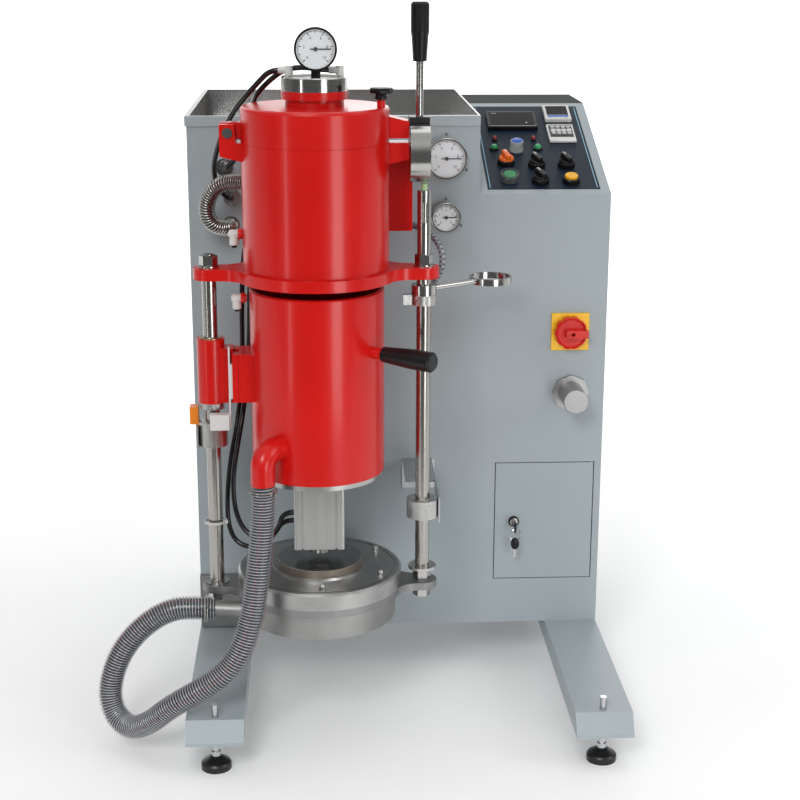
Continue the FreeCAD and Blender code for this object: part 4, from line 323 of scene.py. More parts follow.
# Finishes of pieces that carry a second colour or metal inside a zone.
tray = Finish("tray_sheet", STEEL, 0.30, metal=1.0).cloud(0.16, 500, (0.02, 1, 1), roughen=0.25)
tray.grain(0.10, 700, 0.05, (0.02, 1, 1))
tray.zone(tray.along(UP), 0, 2000, (0.34, 0.34, 0.335), 0.26, 1.0)
for direction, low, high in ((BACK, -100, -55.2), (BACK, 425.9, 500), (ACROSS, -400, -339.4),
                             (ACROSS, 126.4, 200)):
    tray.zone(tray.along(direction), low, high, GREY_PAINT, 0.42)

wear = turned("wear_plate_face", (0.30, 0.29, 0.28), 0.18, pitch=2.2)
wear.zone(wear.from_axis(*TOWER), 65.2, 70, (0.27, 0.23, 0.19), 0.42, 0.8)
trip = bright("trip_strip", ZINC, 0.34, EVEN, 90)
trip.zone(trip.along(BACK), -300, -269.6, (0.62, 0.62, 0.61), 0.35)
feet = bright("foot_steel", ZINC, 0.25, EVEN, 200)
feet.zone(feet.along(UP), -1, 21, BLACK, 0.34)
bracketry = bright("stay_and_switch", ZINC, 0.34, EVEN, 90)
bracketry.zone(bracketry.along(UP), 503.0, 600, (0.80, 0.22, 0.01), 0.34)
sight = bright("sight_ring_steel", STEEL, 0.14)
sight.zone(sight.along(UP), 1027.5, 1100, WHITE, 0.3)
detent = bright("detent_steel", (0.42, 0.415, 0.40), 0.20)
detent.zone(detent.along(UP), 861.2, 900, (0.40, 0.60, 0.30), 0.3)
drum = bright("drum_steel", (0.48, 0.475, 0.46), 0.18, (1, 0.04, 0.04), 700)
drum.zone(drum.along(UP), 957.0, 969.6, BLACK, 0.4)
fittings = bright("fitting_steel", STEEL, 0.20, EVEN, 160)
fittings.zone(fittings.along(ACROSS), 200, 400, (0.86, 0.50, 0.01), 0.35)
sleeve = enamel("sleeve_enamel")
sleeve.zone(sleeve.along(UP), 639.2, 700, (0.60, 0.50, 0.30), 0.3, 1.0)
ribs = Finish("silencer_ribs", (0.40, 0.40, 0.40), 0.40, metal=1.0).cloud(0.06, 60, roughen=0.06)
ribs.wave(ribs.along(BACK), 2.4, 0.4, 0.15)

# The shell's highest face, the flat behind the console, is dark and dull: painted shade, a
# near-black colour standing in for how dark the flat looks.
SHELL_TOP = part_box("cabinet_shell")[1][2] / MM
shell = satin("shell_paint_with_painted_shade")
shell.zone(shell.along(UP), SHELL_TOP - 0.5, SHELL_TOP + 10, (0.035, 0.040, 0.034), 0.95)

FINISHES = {
    "cabinet_shell": shell.done(), "legs": "grey", "service_door": "grey",
    "console_plate": "panel", "top_tray": tray.done(), "levelling_feet": feet.done(),
    "base_bracket": "cast", "base_pot": "pot", "base_plate": "cast", "base_cover": "cover",
    "wear_plate": wear.done(), "guide_posts": "post", "post_collars": "machined",
    "post_brackets": bracketry.done(), "upper_chamber": "red", "seal_rings": "rubber",
    "furnace_lining": "ceramic", "induction_coil": "copper", "crucible": "graphite",
    "lid": "red", "sight_ring": sight.done(), "lid_gauge": "black", "lid_needle": "ink",
    "vacuum_needle": "ink", "pressure_needle": "ink", "gauge_cases": "steel",
    "main_switch_knob": "red_plastic", "silencer": ribs.done(),
    "face_fittings": fittings.done(), "latch_drum": drum.done(), "lever_grip": "black",
    "detent_tube": detent.done(), "swing_sleeve": sleeve.done(), "switch_trip": trip.done(),
    "lower_chamber": "red", "flask_seat": "ceramic", "lift_cylinder": "anodised",
    "pull_grip": "black", "piston_rod": "post", "ring_arm": "steel", "generator": "grey",
    "fasteners": "steel", "dial_knob": "dial_grey", "green_button": "green",
    "yellow_button": "yellow",
}
for node, finish in FINISHES.items():
    material = STUFF[finish] if isinstance(finish, str) else finish
    for material_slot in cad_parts[node].material_slots:
        material_slot.material = material


# ---------------------------------------------------------------- mesh helpers

# The way a turned part's height points.
WAYS = {
    "up": Matrix.Identity(4), "down": Matrix.Rotation(math.pi, 4, "X"),
    "front": Matrix.Rotation(math.pi / 2, 4, "X"),
    "right": Matrix.Rotation(math.pi / 2, 4, "Y"),
    "left": Matrix.Rotation(-math.pi / 2, 4, "Y"),
}


class Build:
    """A mesh under construction: shapes with their own materials, then one object on a body.

    Its turn places every shape that comes after; under places one shape more.
    """

    def __init__(self):
        self.mesh = bmesh.new()
        self.stuff = []
        self.turn = Matrix.Identity(4)

    def index(self, name):
        if name not in self.stuff:
            self.stuff.append(name)
        return self.stuff.index(name)

    def take_in(self, shape, name, spot=Matrix.Identity(4), smooth=True):
        """Adds a finished shape at its spot, all its faces in one material."""
        bmesh.ops.remove_doubles(shape, verts=shape.verts, dist=1e-7)
        bmesh.ops.recalc_face_normals(shape, faces=shape.faces)
        number = self.index(name)
        for face in shape.faces:
            face.material_index, face.smooth = number, smooth
        shape.transform(self.turn @ spot)
        mesh = bpy.data.meshes.new("shape")
        shape.to_mesh(mesh)
        shape.free()
        self.mesh.from_mesh(mesh)
        bpy.data.meshes.remove(mesh)

    def box(self, x, y, z, wide, deep, high, name, soft=0.6, under=Matrix.Identity(4)):
        """A box by its middle and sizes, its edges rounded."""
        shape = bmesh.new()
        sizes = Matrix.Diagonal((wide * MM, deep * MM, high * MM, 1))
        bmesh.ops.create_cube(shape, size=1.0, matrix=sizes)
        if soft:
            bmesh.ops.bevel(shape, geom=shape.edges[:], offset=soft * MM, segments=3,
                            affect="EDGES", profile=0.5, material=-1, clamp_overlap=True)
        self.take_in(shape, name, under @ Matrix.Translation(point(x, y, z)), smooth=False)

    def plate(self, outline, thick, name):
        """A flat plate from the corners of its right face, its thickness towards the left."""
        shape = bmesh.new()
        corners = [shape.verts.new(point(*corner)) for corner in outline]
        sheet = bmesh.ops.contextual_create(shape, geom=corners)["faces"]
        made = bmesh.ops.extrude_face_region(shape, geom=sheet)["geom"]
        bmesh.ops.translate(shape, vec=(-thick * MM, 0, 0), verts=corners_of(made))
        self.take_in(shape, name, smooth=False)

    def lathe(self, outline, name, x=0, y=0, z=0, way="up", segments=64, lobes=None,
              under=Matrix.Identity(4)):
        """A turned part from its half outline; lobes (count, depth) ripple its radius."""
        shape = bmesh.new()
        spots = [shape.verts.new(point(radius, 0, height)) for radius, height in outline]
        edges = [shape.edges.new(pair) for pair in zip(spots, spots[1:])]
        bmesh.ops.spin(shape, geom=spots + edges, cent=(0, 0, 0), axis=UP, angle=FULL_TURN,
                       steps=segments, use_merge=True)
        if lobes:
            count, depth = lobes
            for spot in shape.verts:
                spot.co.xy *= 1 + depth * math.cos(count * math.atan2(spot.co.y, spot.co.x))
        self.take_in(shape, name, under @ Matrix.Translation(point(x, y, z)) @ WAYS[way])

    def tube(self, line, radius, name, segments=16, squeeze=None):
        """A ring of edges extruded along a line of points; squeeze(share) scales its radius."""
        shape = bmesh.new()
        places = carried(line)
        if squeeze:
            places = [place @ Matrix.Scale(squeeze(number / (len(places) - 1)), 4)
                      for number, place in enumerate(places)]
        bmesh.ops.create_circle(shape, segments=segments, radius=radius * MM, matrix=places[0])
        edges = shape.edges[:]
        for before, after in zip(places, places[1:]):
            made = bmesh.ops.extrude_edge_only(shape, edges=edges)["geom"]
            spots = corners_of(made)
            edges = [item for item in made if isinstance(item, bmesh.types.BMEdge)
                     and all(spot in spots for spot in item.verts)]
            bmesh.ops.transform(shape, matrix=after @ before.inverted(), verts=spots)
        ends = [edge for edge in shape.edges if edge.is_boundary]
        bmesh.ops.holes_fill(shape, edges=ends)
        self.take_in(shape, name)

    def text(self, words, x, y, z, size, name):
        """Plain figures on a face that looks to the front, centred on a point."""
        curve = bpy.data.curves.new("figures", "FONT")
        curve.body, curve.size = words, size * MM
        curve.align_x, curve.align_y = "CENTER", "CENTER"
        curve.extrude = 0.05 * MM
        holder = bpy.data.objects.new("figures", curve)
        mesh = bpy.data.meshes.new_from_object(holder)
        shape = bmesh.new()
        shape.from_mesh(mesh)
        spot = Matrix.Translation(point(x, y, z)) @ WAYS["front"]
        self.take_in(shape, name, spot, smooth=False)
        bpy.data.objects.remove(holder)
        bpy.data.meshes.remove(mesh)

    def finish(self, name, body=None, replaces=(), slot=None, crease=35):
        """Makes the object; edges that turn by more degrees than the crease stay sharp."""
        limit = math.radians(crease)
        for edge in self.mesh.edges:
            if len(edge.link_faces) == 2 and edge.calc_face_angle(0) > limit:
                edge.smooth = False
        mesh = bpy.data.meshes.new(name)
        self.mesh.to_mesh(mesh)
        self.mesh.free()
        for stuff in self.stuff:
            mesh.materials.append(STUFF[stuff])
        made = bpy.data.objects.new(name, mesh)
        bpy.context.scene.collection.objects.link(made)
        if body:
            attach(made, body)
        if replaces:
            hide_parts(*replaces)
        return made


def corners_of(made):
    """The corners among what an extrusion made."""
    return [item for item in made if isinstance(item, bmesh.types.BMVert)]


def hoop(count, spot_at):
    """A closed line of points, each from its angle."""
    return [spot_at(FULL_TURN * number / count) for number in range(count + 1)]


def carried(line):
    """A placing for each point of a line, its Z along the line, carried along without a twist."""
    side = (line[1] - line[0]).orthogonal().normalized()
    places = []
    for number, spot in enumerate(line):
        way = (line[min(number + 1, len(line) - 1)] - line[max(number - 1, 0)]).normalized()
        side = (side - way * side.dot(way)).normalized()
        turn = Matrix((side, way.cross(side), way)).transposed().to_4x4()
        places.append(Matrix.Translation(spot) @ turn)
    return places


def smooth_line(route, step):
    """Points a step apart on the smooth curve with the route's control points, and its length."""
    curve = bpy.data.curves.new("route", "CURVE")
    curve.dimensions = "3D"
    curve.resolution_u = 24
    spline = curve.splines.new("NURBS")
    spline.points.add(len(route) - 1)
    for spot, place in zip(spline.points, route):
        spot.co = (*on_machine(*place), 1)
    spline.order_u = 3
    spline.use_endpoint_u = True
    holder = bpy.data.objects.new("route", curve)
    mesh = bpy.data.meshes.new_from_object(holder)
    spots = [v.co.copy() for v in mesh.vertices]
    bpy.data.objects.remove(holder)
    bpy.data.meshes.remove(mesh)
    lengths = [0.0]
    for first, second in zip(spots, spots[1:]):
        lengths.append(lengths[-1] + (second - first).length)
    total = lengths[-1]
    count = max(int(total / (step * MM)), 8)
    line, number = [], 0
    for mark in range(count + 1):
        goal = total * mark / count
        while number < len(lengths) - 2 and lengths[number + 1] < goal:
            number += 1
        run = lengths[number + 1] - lengths[number]
        share = (goal - lengths[number]) / run if run else 0
        line.append(spots[number].lerp(spots[number + 1], min(share, 1)))
    return line, total


# ---------------------------------------------------------------- camera

# Fitted to the cabinet's edges in the photograph.
YAW, PITCH, ROLL = (math.radians(turn) for turn in (-2.93986, 15.7208, 0.16378))
STANDPOINT = (-0.132380, -2.640338, 1.213104)
look = Vector((-math.sin(YAW) * math.cos(PITCH), math.cos(YAW) * math.cos(PITCH),
               -math.sin(PITCH)))
level = Vector((math.cos(YAW), math.sin(YAW), 0))
upward = level.cross(look)
right = level * math.cos(ROLL) + upward * math.sin(ROLL)
above = -level * math.sin(ROLL) + upward * math.cos(ROLL)
lens = bpy.data.cameras.new("camera")
lens.lens, lens.sensor_width = 73.049, 36.0
camera = bpy.data.objects.new("camera", lens)
camera.matrix_world = Matrix.Translation(STANDPOINT) @ Matrix(
    (right, above, -look)).transposed().to_4x4()
bpy.context.scene.collection.objects.link(camera)
bpy.context.scene.camera = camera

# ---------------------------------------------------------------- cords and hoses

# Control points of the hoses' smooth lines, counted from the cabinet's corner.
VACUUM_HOSE = [
    (122.5, -302, 355.9), (122.4, -302.8, 320), (118, -308, 270), (112, -316, 216),
    (104, -326, 162), (88, -336, 110), (60, -342, 70), (20, -340, 43), (-22, -330, 15),
    (-56, -308, -22), (-88, -282, -46), (-114, -262, -36), (-125, -251, -6), (-119, -246, 34),
    (-99, -241, 76), (-64, -236.5, 112), (-26, -234.5, 133), (8, -234.6, 135),
    (41.2, -234, 132.1),
]
LID_TUBES = [
    [(231.5, -180, 950.3), (216, -180, 950.3), (190, -171, 954), (160, -165, 950), (136, -156, 931),
     (119, -141, 912), (113, -120, 898), (102, -96, 868), (90, -74, 832), (80, -56, 802),
     (61, -36, 786), (61, -12.3, 786)],
    [(157.5, -180, 950.3), (141, -180, 950.3), (124, -168, 933), (104, -150, 911), (86, -129, 889),
     (69, -104, 860), (55, -78, 826), (46, -54, 790), (52, -40, 756), (72, -34, 738),
     (72, -12.3, 738)],
]
AIR_TUBES = [
    [(90, -0.3, 655), (90, -28, 655), (88, -54, 628), (86, -68, 570), (86, -72, 512),
     (84, -86, 452), (77, -106, 396), (66, -128, 344), (60, -144, 292), (60, -154, 246),
     (70, -162, 218), (92, -170, 208), (118, -178, 216), (136, -184, 238), (148, -184, 258),
     (165.7, -184, 258)],
    [(102, -0.3, 640), (102, -28, 640), (99, -60, 612), (99, -79, 552), (95, -92, 492),
     (90, -108, 434), (80, -130, 378), (70, -150, 324), (71, -162, 276), (82, -172, 244),
     (102, -181, 228), (126, -190, 231), (142, -196, 250), (148, -198, 276), (165.7, -198, 276)],
]
GAS_HOSE = [
    (344, -0.3, 702), (344, -34, 702), (352, -72, 705), (364, -104, 706), (380, -132, 700),
    (394, -150, 684), (398, -156, 662), (392, -152, 640), (381, -148.7, 627), (375.2, -164.6, 627),
]
METAL_HOSE = [
    (103.8, -107.8, 777), (84, -94.2, 776.6), (58, -84, 772), (40, -74, 752), (34, -66, 722),
    (46, -56, 700), (69, -38, 694), (69, -12.3, 694),
]
HOSE_RADIUS = 19.0
CORE_RADIUS = 15.6
WIRE_ROUND = 17.2  # from the hose's middle to the wire's
WIRE_RADIUS = 0.85
WIRE_PITCH = 4.5
WIRE_STEPS = 12  # in one turn
DASHES = 132
DASH_ROUND = 18.8
DASH_STEP = 0.0016  # share of the hose's length between a dash's points
CLAMP_ROUND = 20.1
TUBE_RADIUS = 4
METAL_RIBS = 44


def crossing(cut, axis, reach=25):
    """Two points each side of a plane through the cut, a reach from it along an axis."""
    start, end = on_machine(*cut), on_machine(*cut)
    start[axis] -= reach * MM
    end[axis] += reach * MM
    return start, end


hose_line, hose_length = smooth_line(VACUUM_HOSE, 3.0)
hose_places = carried(hose_line)
wall = Build()
wall.tube(hose_line, HOSE_RADIUS, "hose_wall", 40)
hose_wall = wall.finish("vacuum_hose_wall", replaces=("vacuum_hose", "vacuum_hose_top"),
                        slot="clear_hose")
core = Build()
core.tube(hose_line, CORE_RADIUS, "hose_core", 24)
hose_core = core.finish("vacuum_hose_core")


def on_hose(share, angle, out):
    """A point on the hose from its share of the length, its angle and its distance out."""
    where = share * (len(hose_places) - 1)
    low = min(int(where), len(hose_places) - 2)
    reach = Vector((out * math.cos(angle), out * math.sin(angle), 0)) * MM
    return (hose_places[low] @ reach).lerp(hose_places[low + 1] @ reach, where - low)


turns = hose_length / (WIRE_PITCH * MM)
steps = int(turns * WIRE_STEPS)
winding = Build()
winding.tube([on_hose(number / steps, FULL_TURN * turns * number / steps, WIRE_ROUND)
              for number in range(steps + 1)], WIRE_RADIUS, "wire", 5)
hose_wire = winding.finish("vacuum_hose_wire", crease=80)
stripe = Build()
for dash in range(2, DASHES - 2):
    for angle, ahead in ((3.9, 0), (5.6, 0.5)):
        share = (dash + ahead) / DASHES
        stripe.tube([on_hose(share + step * DASH_STEP, angle, DASH_ROUND) for step in range(3)],
                    0.3, "red_plastic", 5)
hose_stripe = stripe.finish("vacuum_hose_stripe")
clamps = Build()
for share in (0.010, 0.014, 0.983, 0.987):
    clamps.tube(hoop(40, lambda angle: on_hose(share, angle, CLAMP_ROUND)), WIRE_RADIUS,
                "steel", 8)
hose_clamps = clamps.finish("vacuum_hose_clamps")
hose_pieces = [hose_core, hose_wire, hose_stripe, hose_clamps]
hose_cut = crossing((112, -316, 196), 2)
for made in [hose_wall] + hose_pieces:
    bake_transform(made)


def small_tube(name, route, replaces, cut, axis, reach):
    """A black tube along its route, from the machine to a moving body."""
    line, length = smooth_line(route, 4)
    made = Build()
    made.tube(line, TUBE_RADIUS, "tube", 16)
    lead = made.finish(name, replaces=replaces)
    start, end = crossing(cut, axis, reach)
    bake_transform(lead)


for number, route in enumerate(LID_TUBES):
    small_tube("lid_tube_%d" % number, route, ("lid_tubes", "air_tubes"),
               (100, -100, 870), 1, 30)
for number, route in enumerate(AIR_TUBES):
    small_tube("air_tube_%d" % number, route, ("air_tubes", "swing_tubes"),
               (66, -150, 300), 2, 40)

# The braid: two strands wound each way on a ribbed line.
STRAND_TURN = 0.35  # from one of the strand's points to the next
line, length = smooth_line(GAS_HOSE, 3)
made = Build()
made.tube(line, 4.4, "braid", 16, squeeze=lambda share: 1 - 0.03 * math.sin(share * 300) ** 2)
gas_places = carried(smooth_line(GAS_HOSE, 0.8)[0])
for number in range(4):
    hand = STRAND_TURN if number % 2 else -STRAND_TURN
    strand = []
    for index, place in enumerate(gas_places):
        angle = hand * index + number * FULL_TURN / 4
        strand.append(place @ point(4.3 * math.cos(angle), 4.3 * math.sin(angle), 0))
    made.tube(strand, 0.55, "ink", 5)
gas = made.finish("gas_hose_line", replaces=("gas_hose", "gas_hose_end"))
start, end = crossing((396, -155, 672), 2, 14)
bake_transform(gas)

line, length = smooth_line(METAL_HOSE, 0.5)
made = Build()
made.tube(line, 12.5, "bellows", 40,
          squeeze=lambda share: 0.90 + 0.10 * math.sin(FULL_TURN * METAL_RIBS * share))
# A black core inside the bellows shows in the grooves: painted shade at the grooves' bottoms, in
# the dial ink's black.
made.tube(line[::4], 10.9, "ink", 24)
metal = made.finish("metal_hose_bellows", "machine", ("metal_hose",), crease=80)

# ---------------------------------------------------------------- gauges

ZERO = 225  # degrees, where a scale starts
SWEEP = 270
MARKS = 50
INSET = 4.6  # from the case's radius to the outer end of the marks


def on_scale(share):
    return math.radians(ZERO - SWEEP * share)


def gauge(name, body, x, front, z, radius, figures, size):
    """The dial, its marks and its glass, inside a gauge case that faces front."""
    made = Build()
    face = front + 4.9
    made.lathe([(0, 0), (radius - 3.1, 0), (radius - 3.1, 0.35), (0, 0.35)], "dial",
               x, face, z, "front")
    middle = Matrix.Translation(point(x, face - 0.45, z))
    for mark in range(MARKS + 1):
        long = 5.4 if mark % 10 == 0 else 3.6 if mark % 5 == 0 else 2.2
        high = 0.7 if mark % 5 else 1.2
        made.box(radius - INSET - long / 2, 0, 0, long, 0.12, high, "ink", 0,
                 middle @ Matrix.Rotation(-on_scale(mark / MARKS), 4, "Y"))
    reach = radius - INSET - 9.4 * size / 6
    for number, figure in enumerate(figures):
        angle = on_scale(number / (len(figures) - 1))
        made.text(figure, x + reach * math.cos(angle), face - 0.42,
                  z + reach * math.sin(angle), size, "ink")
    made.lathe([(radius - 3.2, 0.2), (radius - 3.2, 4.4), (radius - 4.3, 3.4),
                (radius - 4.3, 0.2)], "white", x, face, z, "front")
    made.finish(name + "_dial", body)
    cover = Build()
    cover.lathe([(0, 4.0), (radius - 3.3, 4.0), (radius - 3.3, 4.4), (radius * 0.6, 4.7),
                 (0, 4.8)], "glass", x, face, z, "front")
    cover.finish(name + "_glass", body)


gauge("vacuum_gauge", "machine", 73, -69.5, 884, 32.8, ("0", "2", "4", "6", "8", "10"), 6.4)
gauge("pressure_gauge", "machine", 73, -69.5, 790, 24, ("0", "1", "2", "3", "4"), 5.0)
gauge("lid_gauge_face", "lid", -133, -270.5, 1066.8, 31, ("0", "2", "4", "6", "8", "10"), 6.0)

# ---------------------------------------------------------------- console

STEP = 0.5  # how far the console plate's face stands out of the slope


def console(made, across, up):
    """Turns a build so that it stands on the sloping console at a place."""
    base = Matrix.Translation(point(*CONSOLE)) @ Matrix.Rotation(SLOPE, 4, "X")
    made.turn = base @ Matrix.Translation(point(across, up, STEP))
    return made


def lamp(made, radius, name):
    """A black ring with a domed lens."""
    made.lathe([(0, 0), (radius, 0), (radius, 2.2), (radius - 0.8, 3.0), (radius * 0.8, 3.0),
                (radius * 0.8, 2.0), (0, 2.0)], "black", segments=40)
    made.lathe([(radius * 0.78, 2.0), (radius * 0.76, 4.5), (radius * 0.6, 6.9),
                (radius * 0.35, 8.2), (0, 8.8)], name, segments=40)


for name, across, up, radius, colour in (
        ("red_pilot_left", 42, 188, 4.6, "red_lamp"),
        ("red_pilot_right", 108, 188, 4.6, "red_lamp"),
        ("green_lamp_left", 38, 156, 8, "green_lamp"),
        ("green_lamp_right", 112, 156, 8, "green_lamp")):
    made = console(Build(), across, up)
    lamp(made, radius, colour)
    made.finish(name + "_lens", "machine", ("console_fittings",), colour.split("_")[0] + "_plastic")

# The display, dark with a pale lower edge.
made = console(Build(), 77, 254)
made.box(0, 0, 4.0, 86, 60, 7.6, "black", 1.6)
made.box(0, 0, 7.9, 76, 50, 1.6, "screen", 0.6)
made.box(-30, 19, 8.75, 9, 1.4, 0.15, "dial_grey", 0)
made.box(24, -17, 8.75, 3.2, 3.2, 0.3, "dial_grey", 0.2)
made.box(0, -27, 8.0, 80, 1.2, 0.8, "dial_grey", 0.2)
made.finish("display_meter", "machine", ("console_fittings",), "black_plastic")

# The controller: a small screen, a blue line and four keys.
made = console(Build(), 159, 280)
made.box(0, 0, 4.2, 46, 54, 8.2, "white", 1.8)
made.box(0, 5, 8.3, 37, 34, 0.9, "screen", 0.4)
made.box(0, -16.5, 8.4, 37, 5.2, 0.6, "blue", 0.2)
for key in range(4):
    made.box(-13.5 + key * 9, -22, 8.5, 6, 3.2, 0.7, "dial_grey", 0.3)
made.finish("controller_meter", "machine", ("console_fittings",), "white_plastic")

# The counter: four wheels with a key above and below each, under a clear cover.
made = console(Build(), 158, 208)
made.box(0, 0, 2.4, 46, 62, 4.6, "white", 1.4)
made.box(0, 4, 4.9, 40, 42, 1.4, "black", 0.5)
for wheel in range(4):
    x = -13.5 + wheel * 9
    made.lathe([(0, -3.7), (4.4, -3.7), (4.7, -3.2), (4.7, 3.2), (4.4, 3.7), (0, 3.7)], "white",
               x, 4, 4.2, "right", 32, (12, 0.02))
    made.box(x, 15.6, 7.0, 6.6, 3.6, 1.8, "white", 0.5)
    made.box(x, -7.6, 7.0, 6.6, 3.6, 1.8, "white", 0.5)
made.finish("counter_wheels", "machine", ("console_fittings",), "white_plastic")
made = console(Build(), 158, 208)
made.box(0, 4, 8.0, 43, 44, 2.0, "glass", 0.8)
made.finish("counter_cover", "machine", ("console_fittings",))

# The push-buttons' collars and tops, and the green one's clear guard.
for name, across, up in (("green", 53, 47), ("yellow", 153, 40)):
    made = console(Build(), across, up)
    made.lathe([(10.65, 0.2), (14.5, 0.2), (14.5, 7.6), (13.4, 9), (11.4, 9), (10.65, 8.2),
                (10.65, 0.2)], "black", segments=48)
    made.finish(name + "_button_collar", "machine", ("console_fittings",), "black_plastic")
    made = console(Build(), across, up)
    made.lathe([(0, 12.45), (6.5, 12.45), (8.6, 12.57), (9.6, 12.47), (9.6, 12.05), (0, 12.05)],
               name, segments=48)
    made.finish(name + "_button_top", name + "_button")
made = console(Build(), 53, 47)
made.lathe([(15.6, 0.3), (15.6, 12.6), (14.4, 14.2), (12.8, 14.2), (12.8, 13.4), (14.6, 12.2),
            (14.6, 0.3), (15.6, 0.3)], "glass", segments=48)
made.finish("green_button_guard", "machine")

# The selectors: a round base, a bar to grip and a white mark, each turned by some degrees.
for body, across, up, turn, grip in (
        ("orange_selector", 53, 104, 14, "orange"), ("selector_rear_left", 103, 95, 24, "black"),
        ("selector_rear_right", 152, 95, 24, "black"), ("selector_front", 103, 40, 24, "black")):
    made = console(Build(), across, up)
    made.turn = made.turn @ Matrix.Rotation(math.radians(turn), 4, "Z")
    made.lathe([(0, 0.7), (14.4, 0.7), (14.6, 2.4), (14.2, 7.8), (13.0, 9.0), (0, 9.0)],
               "black", segments=56)
    made.lathe([(0, 8.8), (12.6, 8.8), (12.4, 11.0), (11.2, 12.6), (0, 12.6)], grip,
               segments=56)
    made.box(0, 0.4, 14.4, 9.6, 25.4, 11.4, grip, 2.4)
    made.box(0, 8.0, 20.05, 1.7, 8.6, 0.5, "white", 0.1)
    made.box(0, 12.85, 16.4, 1.7, 0.5, 6.0, "white", 0.1)
    made.finish(body + "_knob", body, (body,), grip + "_plastic")

# The dial knob's ribs, blue cap and mark.
KNOB_RIBS = 30
made = console(Build(), 75, 150)
for rib in range(KNOB_RIBS):
    made.box(10.1, 0, 11.2, 1.4, 1.1, 13.6, "dial_grey", 0.3,
             Matrix.Rotation(FULL_TURN * rib / KNOB_RIBS, 4, "Z"))
made.lathe([(0, 19.1), (9.3, 19.1), (9.9, 18.7), (9.9, 18.0), (0, 18.0)], "blue", segments=48)
made.box(0, 6.5, 19.25, 0.9, 5.2, 0.3, "white", 0)
made.finish("dial_knob_ribs", "dial_knob")

# A pale line along each side of the console.
for name, across in (("left", 19.5), ("right", 193.5)):
    made = console(Build(), across, 166.5)
    made.box(0, 0, 0.12, 1.3, 292, 0.2, "line", 0)
    made.finish("console_line_" + name, "machine")

# ---------------------------------------------------------------- knob on the lid

LID_KNOB = (-39.4, -274.7, 995.3)
made = Build()
made.lathe([(0, -19), (3, -19), (3, 0.3), (5.6, 0.3), (6, 7), (6.4, 8.2)], "red", *LID_KNOB,
           segments=48)
made.lathe([(6.4, 8.2), (11, 9.0), (16.0, 10.2), (17.3, 12.2), (17.3, 15.4), (15.6, 17.8),
            (11, 18.7), (0, 19.0)], "black", *LID_KNOB, segments=84, lobes=(7, 0.035))
made.lathe([(6.3, 1.0), (8.6, 1.2), (9.2, 4.5), (8.6, 8.6), (6.3, 8.6)], "black", *LID_KNOB,
           segments=48)
made.finish("lid_knob_lobes", "lid_knob", ("lid_knob",), "black_plastic")

# ---------------------------------------------------------------- fittings, ties and screws

# The cabinet's wall above the console, from just behind its face to under the tray.
SIDE, NEAR, FAR, LOW, HIGH = 126.9, -53.9, 172, 819.8, 905.9
made = Build()
made.plate([(SIDE, NEAR, LOW), (SIDE, FAR, LOW + (FAR - NEAR) * math.tan(SLOPE)),
            (SIDE, FAR, HIGH), (SIDE, NEAR, HIGH)], 1.5, "grey")
made.finish("wall_over_console", "machine", slot="cabinet_enamel")


def elbow(name, body, wall, z):
    """A white elbow with a red ring, screwed into a chamber's left side, plugged below."""
    made = Build()
    bend = wall - 13.4
    made.lathe([(0, -2), (5.2, -2), (5.2, 0.5), (7.4, 0.5), (7.8, 1.2), (7.8, 6.6), (7.2, 7.4),
                (0, 7.4)], "red_plastic", wall, TOWER[1], z, "left", 40)
    made.lathe([(0, 6.8), (6.2, 6.8), (6.6, 7.4), (6.6, 18), (5.4, 20.6), (3, 21.6), (0, 21.8)],
               "white", wall, TOWER[1], z, "left", 40)
    made.lathe([(0, -4), (6.2, -4), (6.4, 3), (6.8, 10.5), (6.8, 15.5), (6.2, 16.4), (0, 16.4)],
               "white", bend, TOWER[1], z, "down", 40)
    made.lathe([(0, 16), (4.2, 16), (4.2, 19.4), (3.6, 20.2), (0, 20.2)],
               "tube", bend, TOWER[1], z, "down", 32)
    made.finish(name, body)


elbow("upper_elbow", "machine", -243.6, 797)
elbow("lower_elbow", "lift_chamber", -241.6, 700)

TIE_ROUND = 16.6
made = Build()
for z in (345, 347):
    made.tube(hoop(48, lambda angle: point(POST[0] + TIE_ROUND * math.cos(angle),
                                           POST[1] + TIE_ROUND * math.sin(angle),
                                           z + 0.6 * math.cos(angle))), 1.0, "white", 8)
made.box(-279.5, -250, 346, 5, 4, 5, "white", 0.6)
made.finish("post_tie", "machine")

made = Build()
for x, z in ((-311.1, 931.8), (-304.7, 931.8), (116.9, 937.5), (125.3, 937.5)):
    made.lathe([(0, -1.0), (2.2, -1.0), (2.2, 1.2), (1.4, 1.9), (0, 2.0)], "ink",
               x, 423.4, z, "front", 24)
made.finish("tray_screws", "machine")

# The lock with one key in it, the ring below and a second key that hangs from the ring.
made = Build()
made.lathe([(0, -1.2), (7.0, -1.2), (7.0, 4.6), (6.2, 5.4), (0, 5.4)], "steel", *LOCK,
           "front", 48)
made.lathe([(7.0, 0.2), (9.0, 0.2), (9.0, 3.6), (8.2, 4.8), (7.0, 4.8), (7.0, 0.2)], "black",
           *LOCK, "front", 48)
made.box(LOCK[0], -66.5, LOCK[2], 1.8, 12, 7, "steel", 0.3)
made.lathe([(0, -7), (6, -6.6), (9.4, -3.4), (10.2, 0), (9.4, 3.4), (6, 6.6), (0, 7)], "black",
           way="right", segments=48, under=Matrix.Translation(point(LOCK[0], -78.5, 266))
           @ Matrix.Diagonal((0.26, 1, 1.1, 1)))
made.tube(hoop(48, lambda angle: point(LOCK[0] + 9.4 * math.sin(angle), -80.0,
                                       252.5 + 9.4 * math.cos(angle))), 0.9, "steel", 8)
made.lathe([(0, -9), (7, -8.2), (10.6, -4.6), (11.6, 0), (10.6, 4.6), (7, 8.2), (0, 9)],
           "black", way="front", segments=48,
           under=Matrix.Translation(point(LOCK[0], -82.0, 238))
           @ Matrix.Diagonal((0.62, 0.24, 0.92, 1)))
made.box(193.4, -82.0, 221.5, 4.6, 1.6, 15, "steel", 0.3)
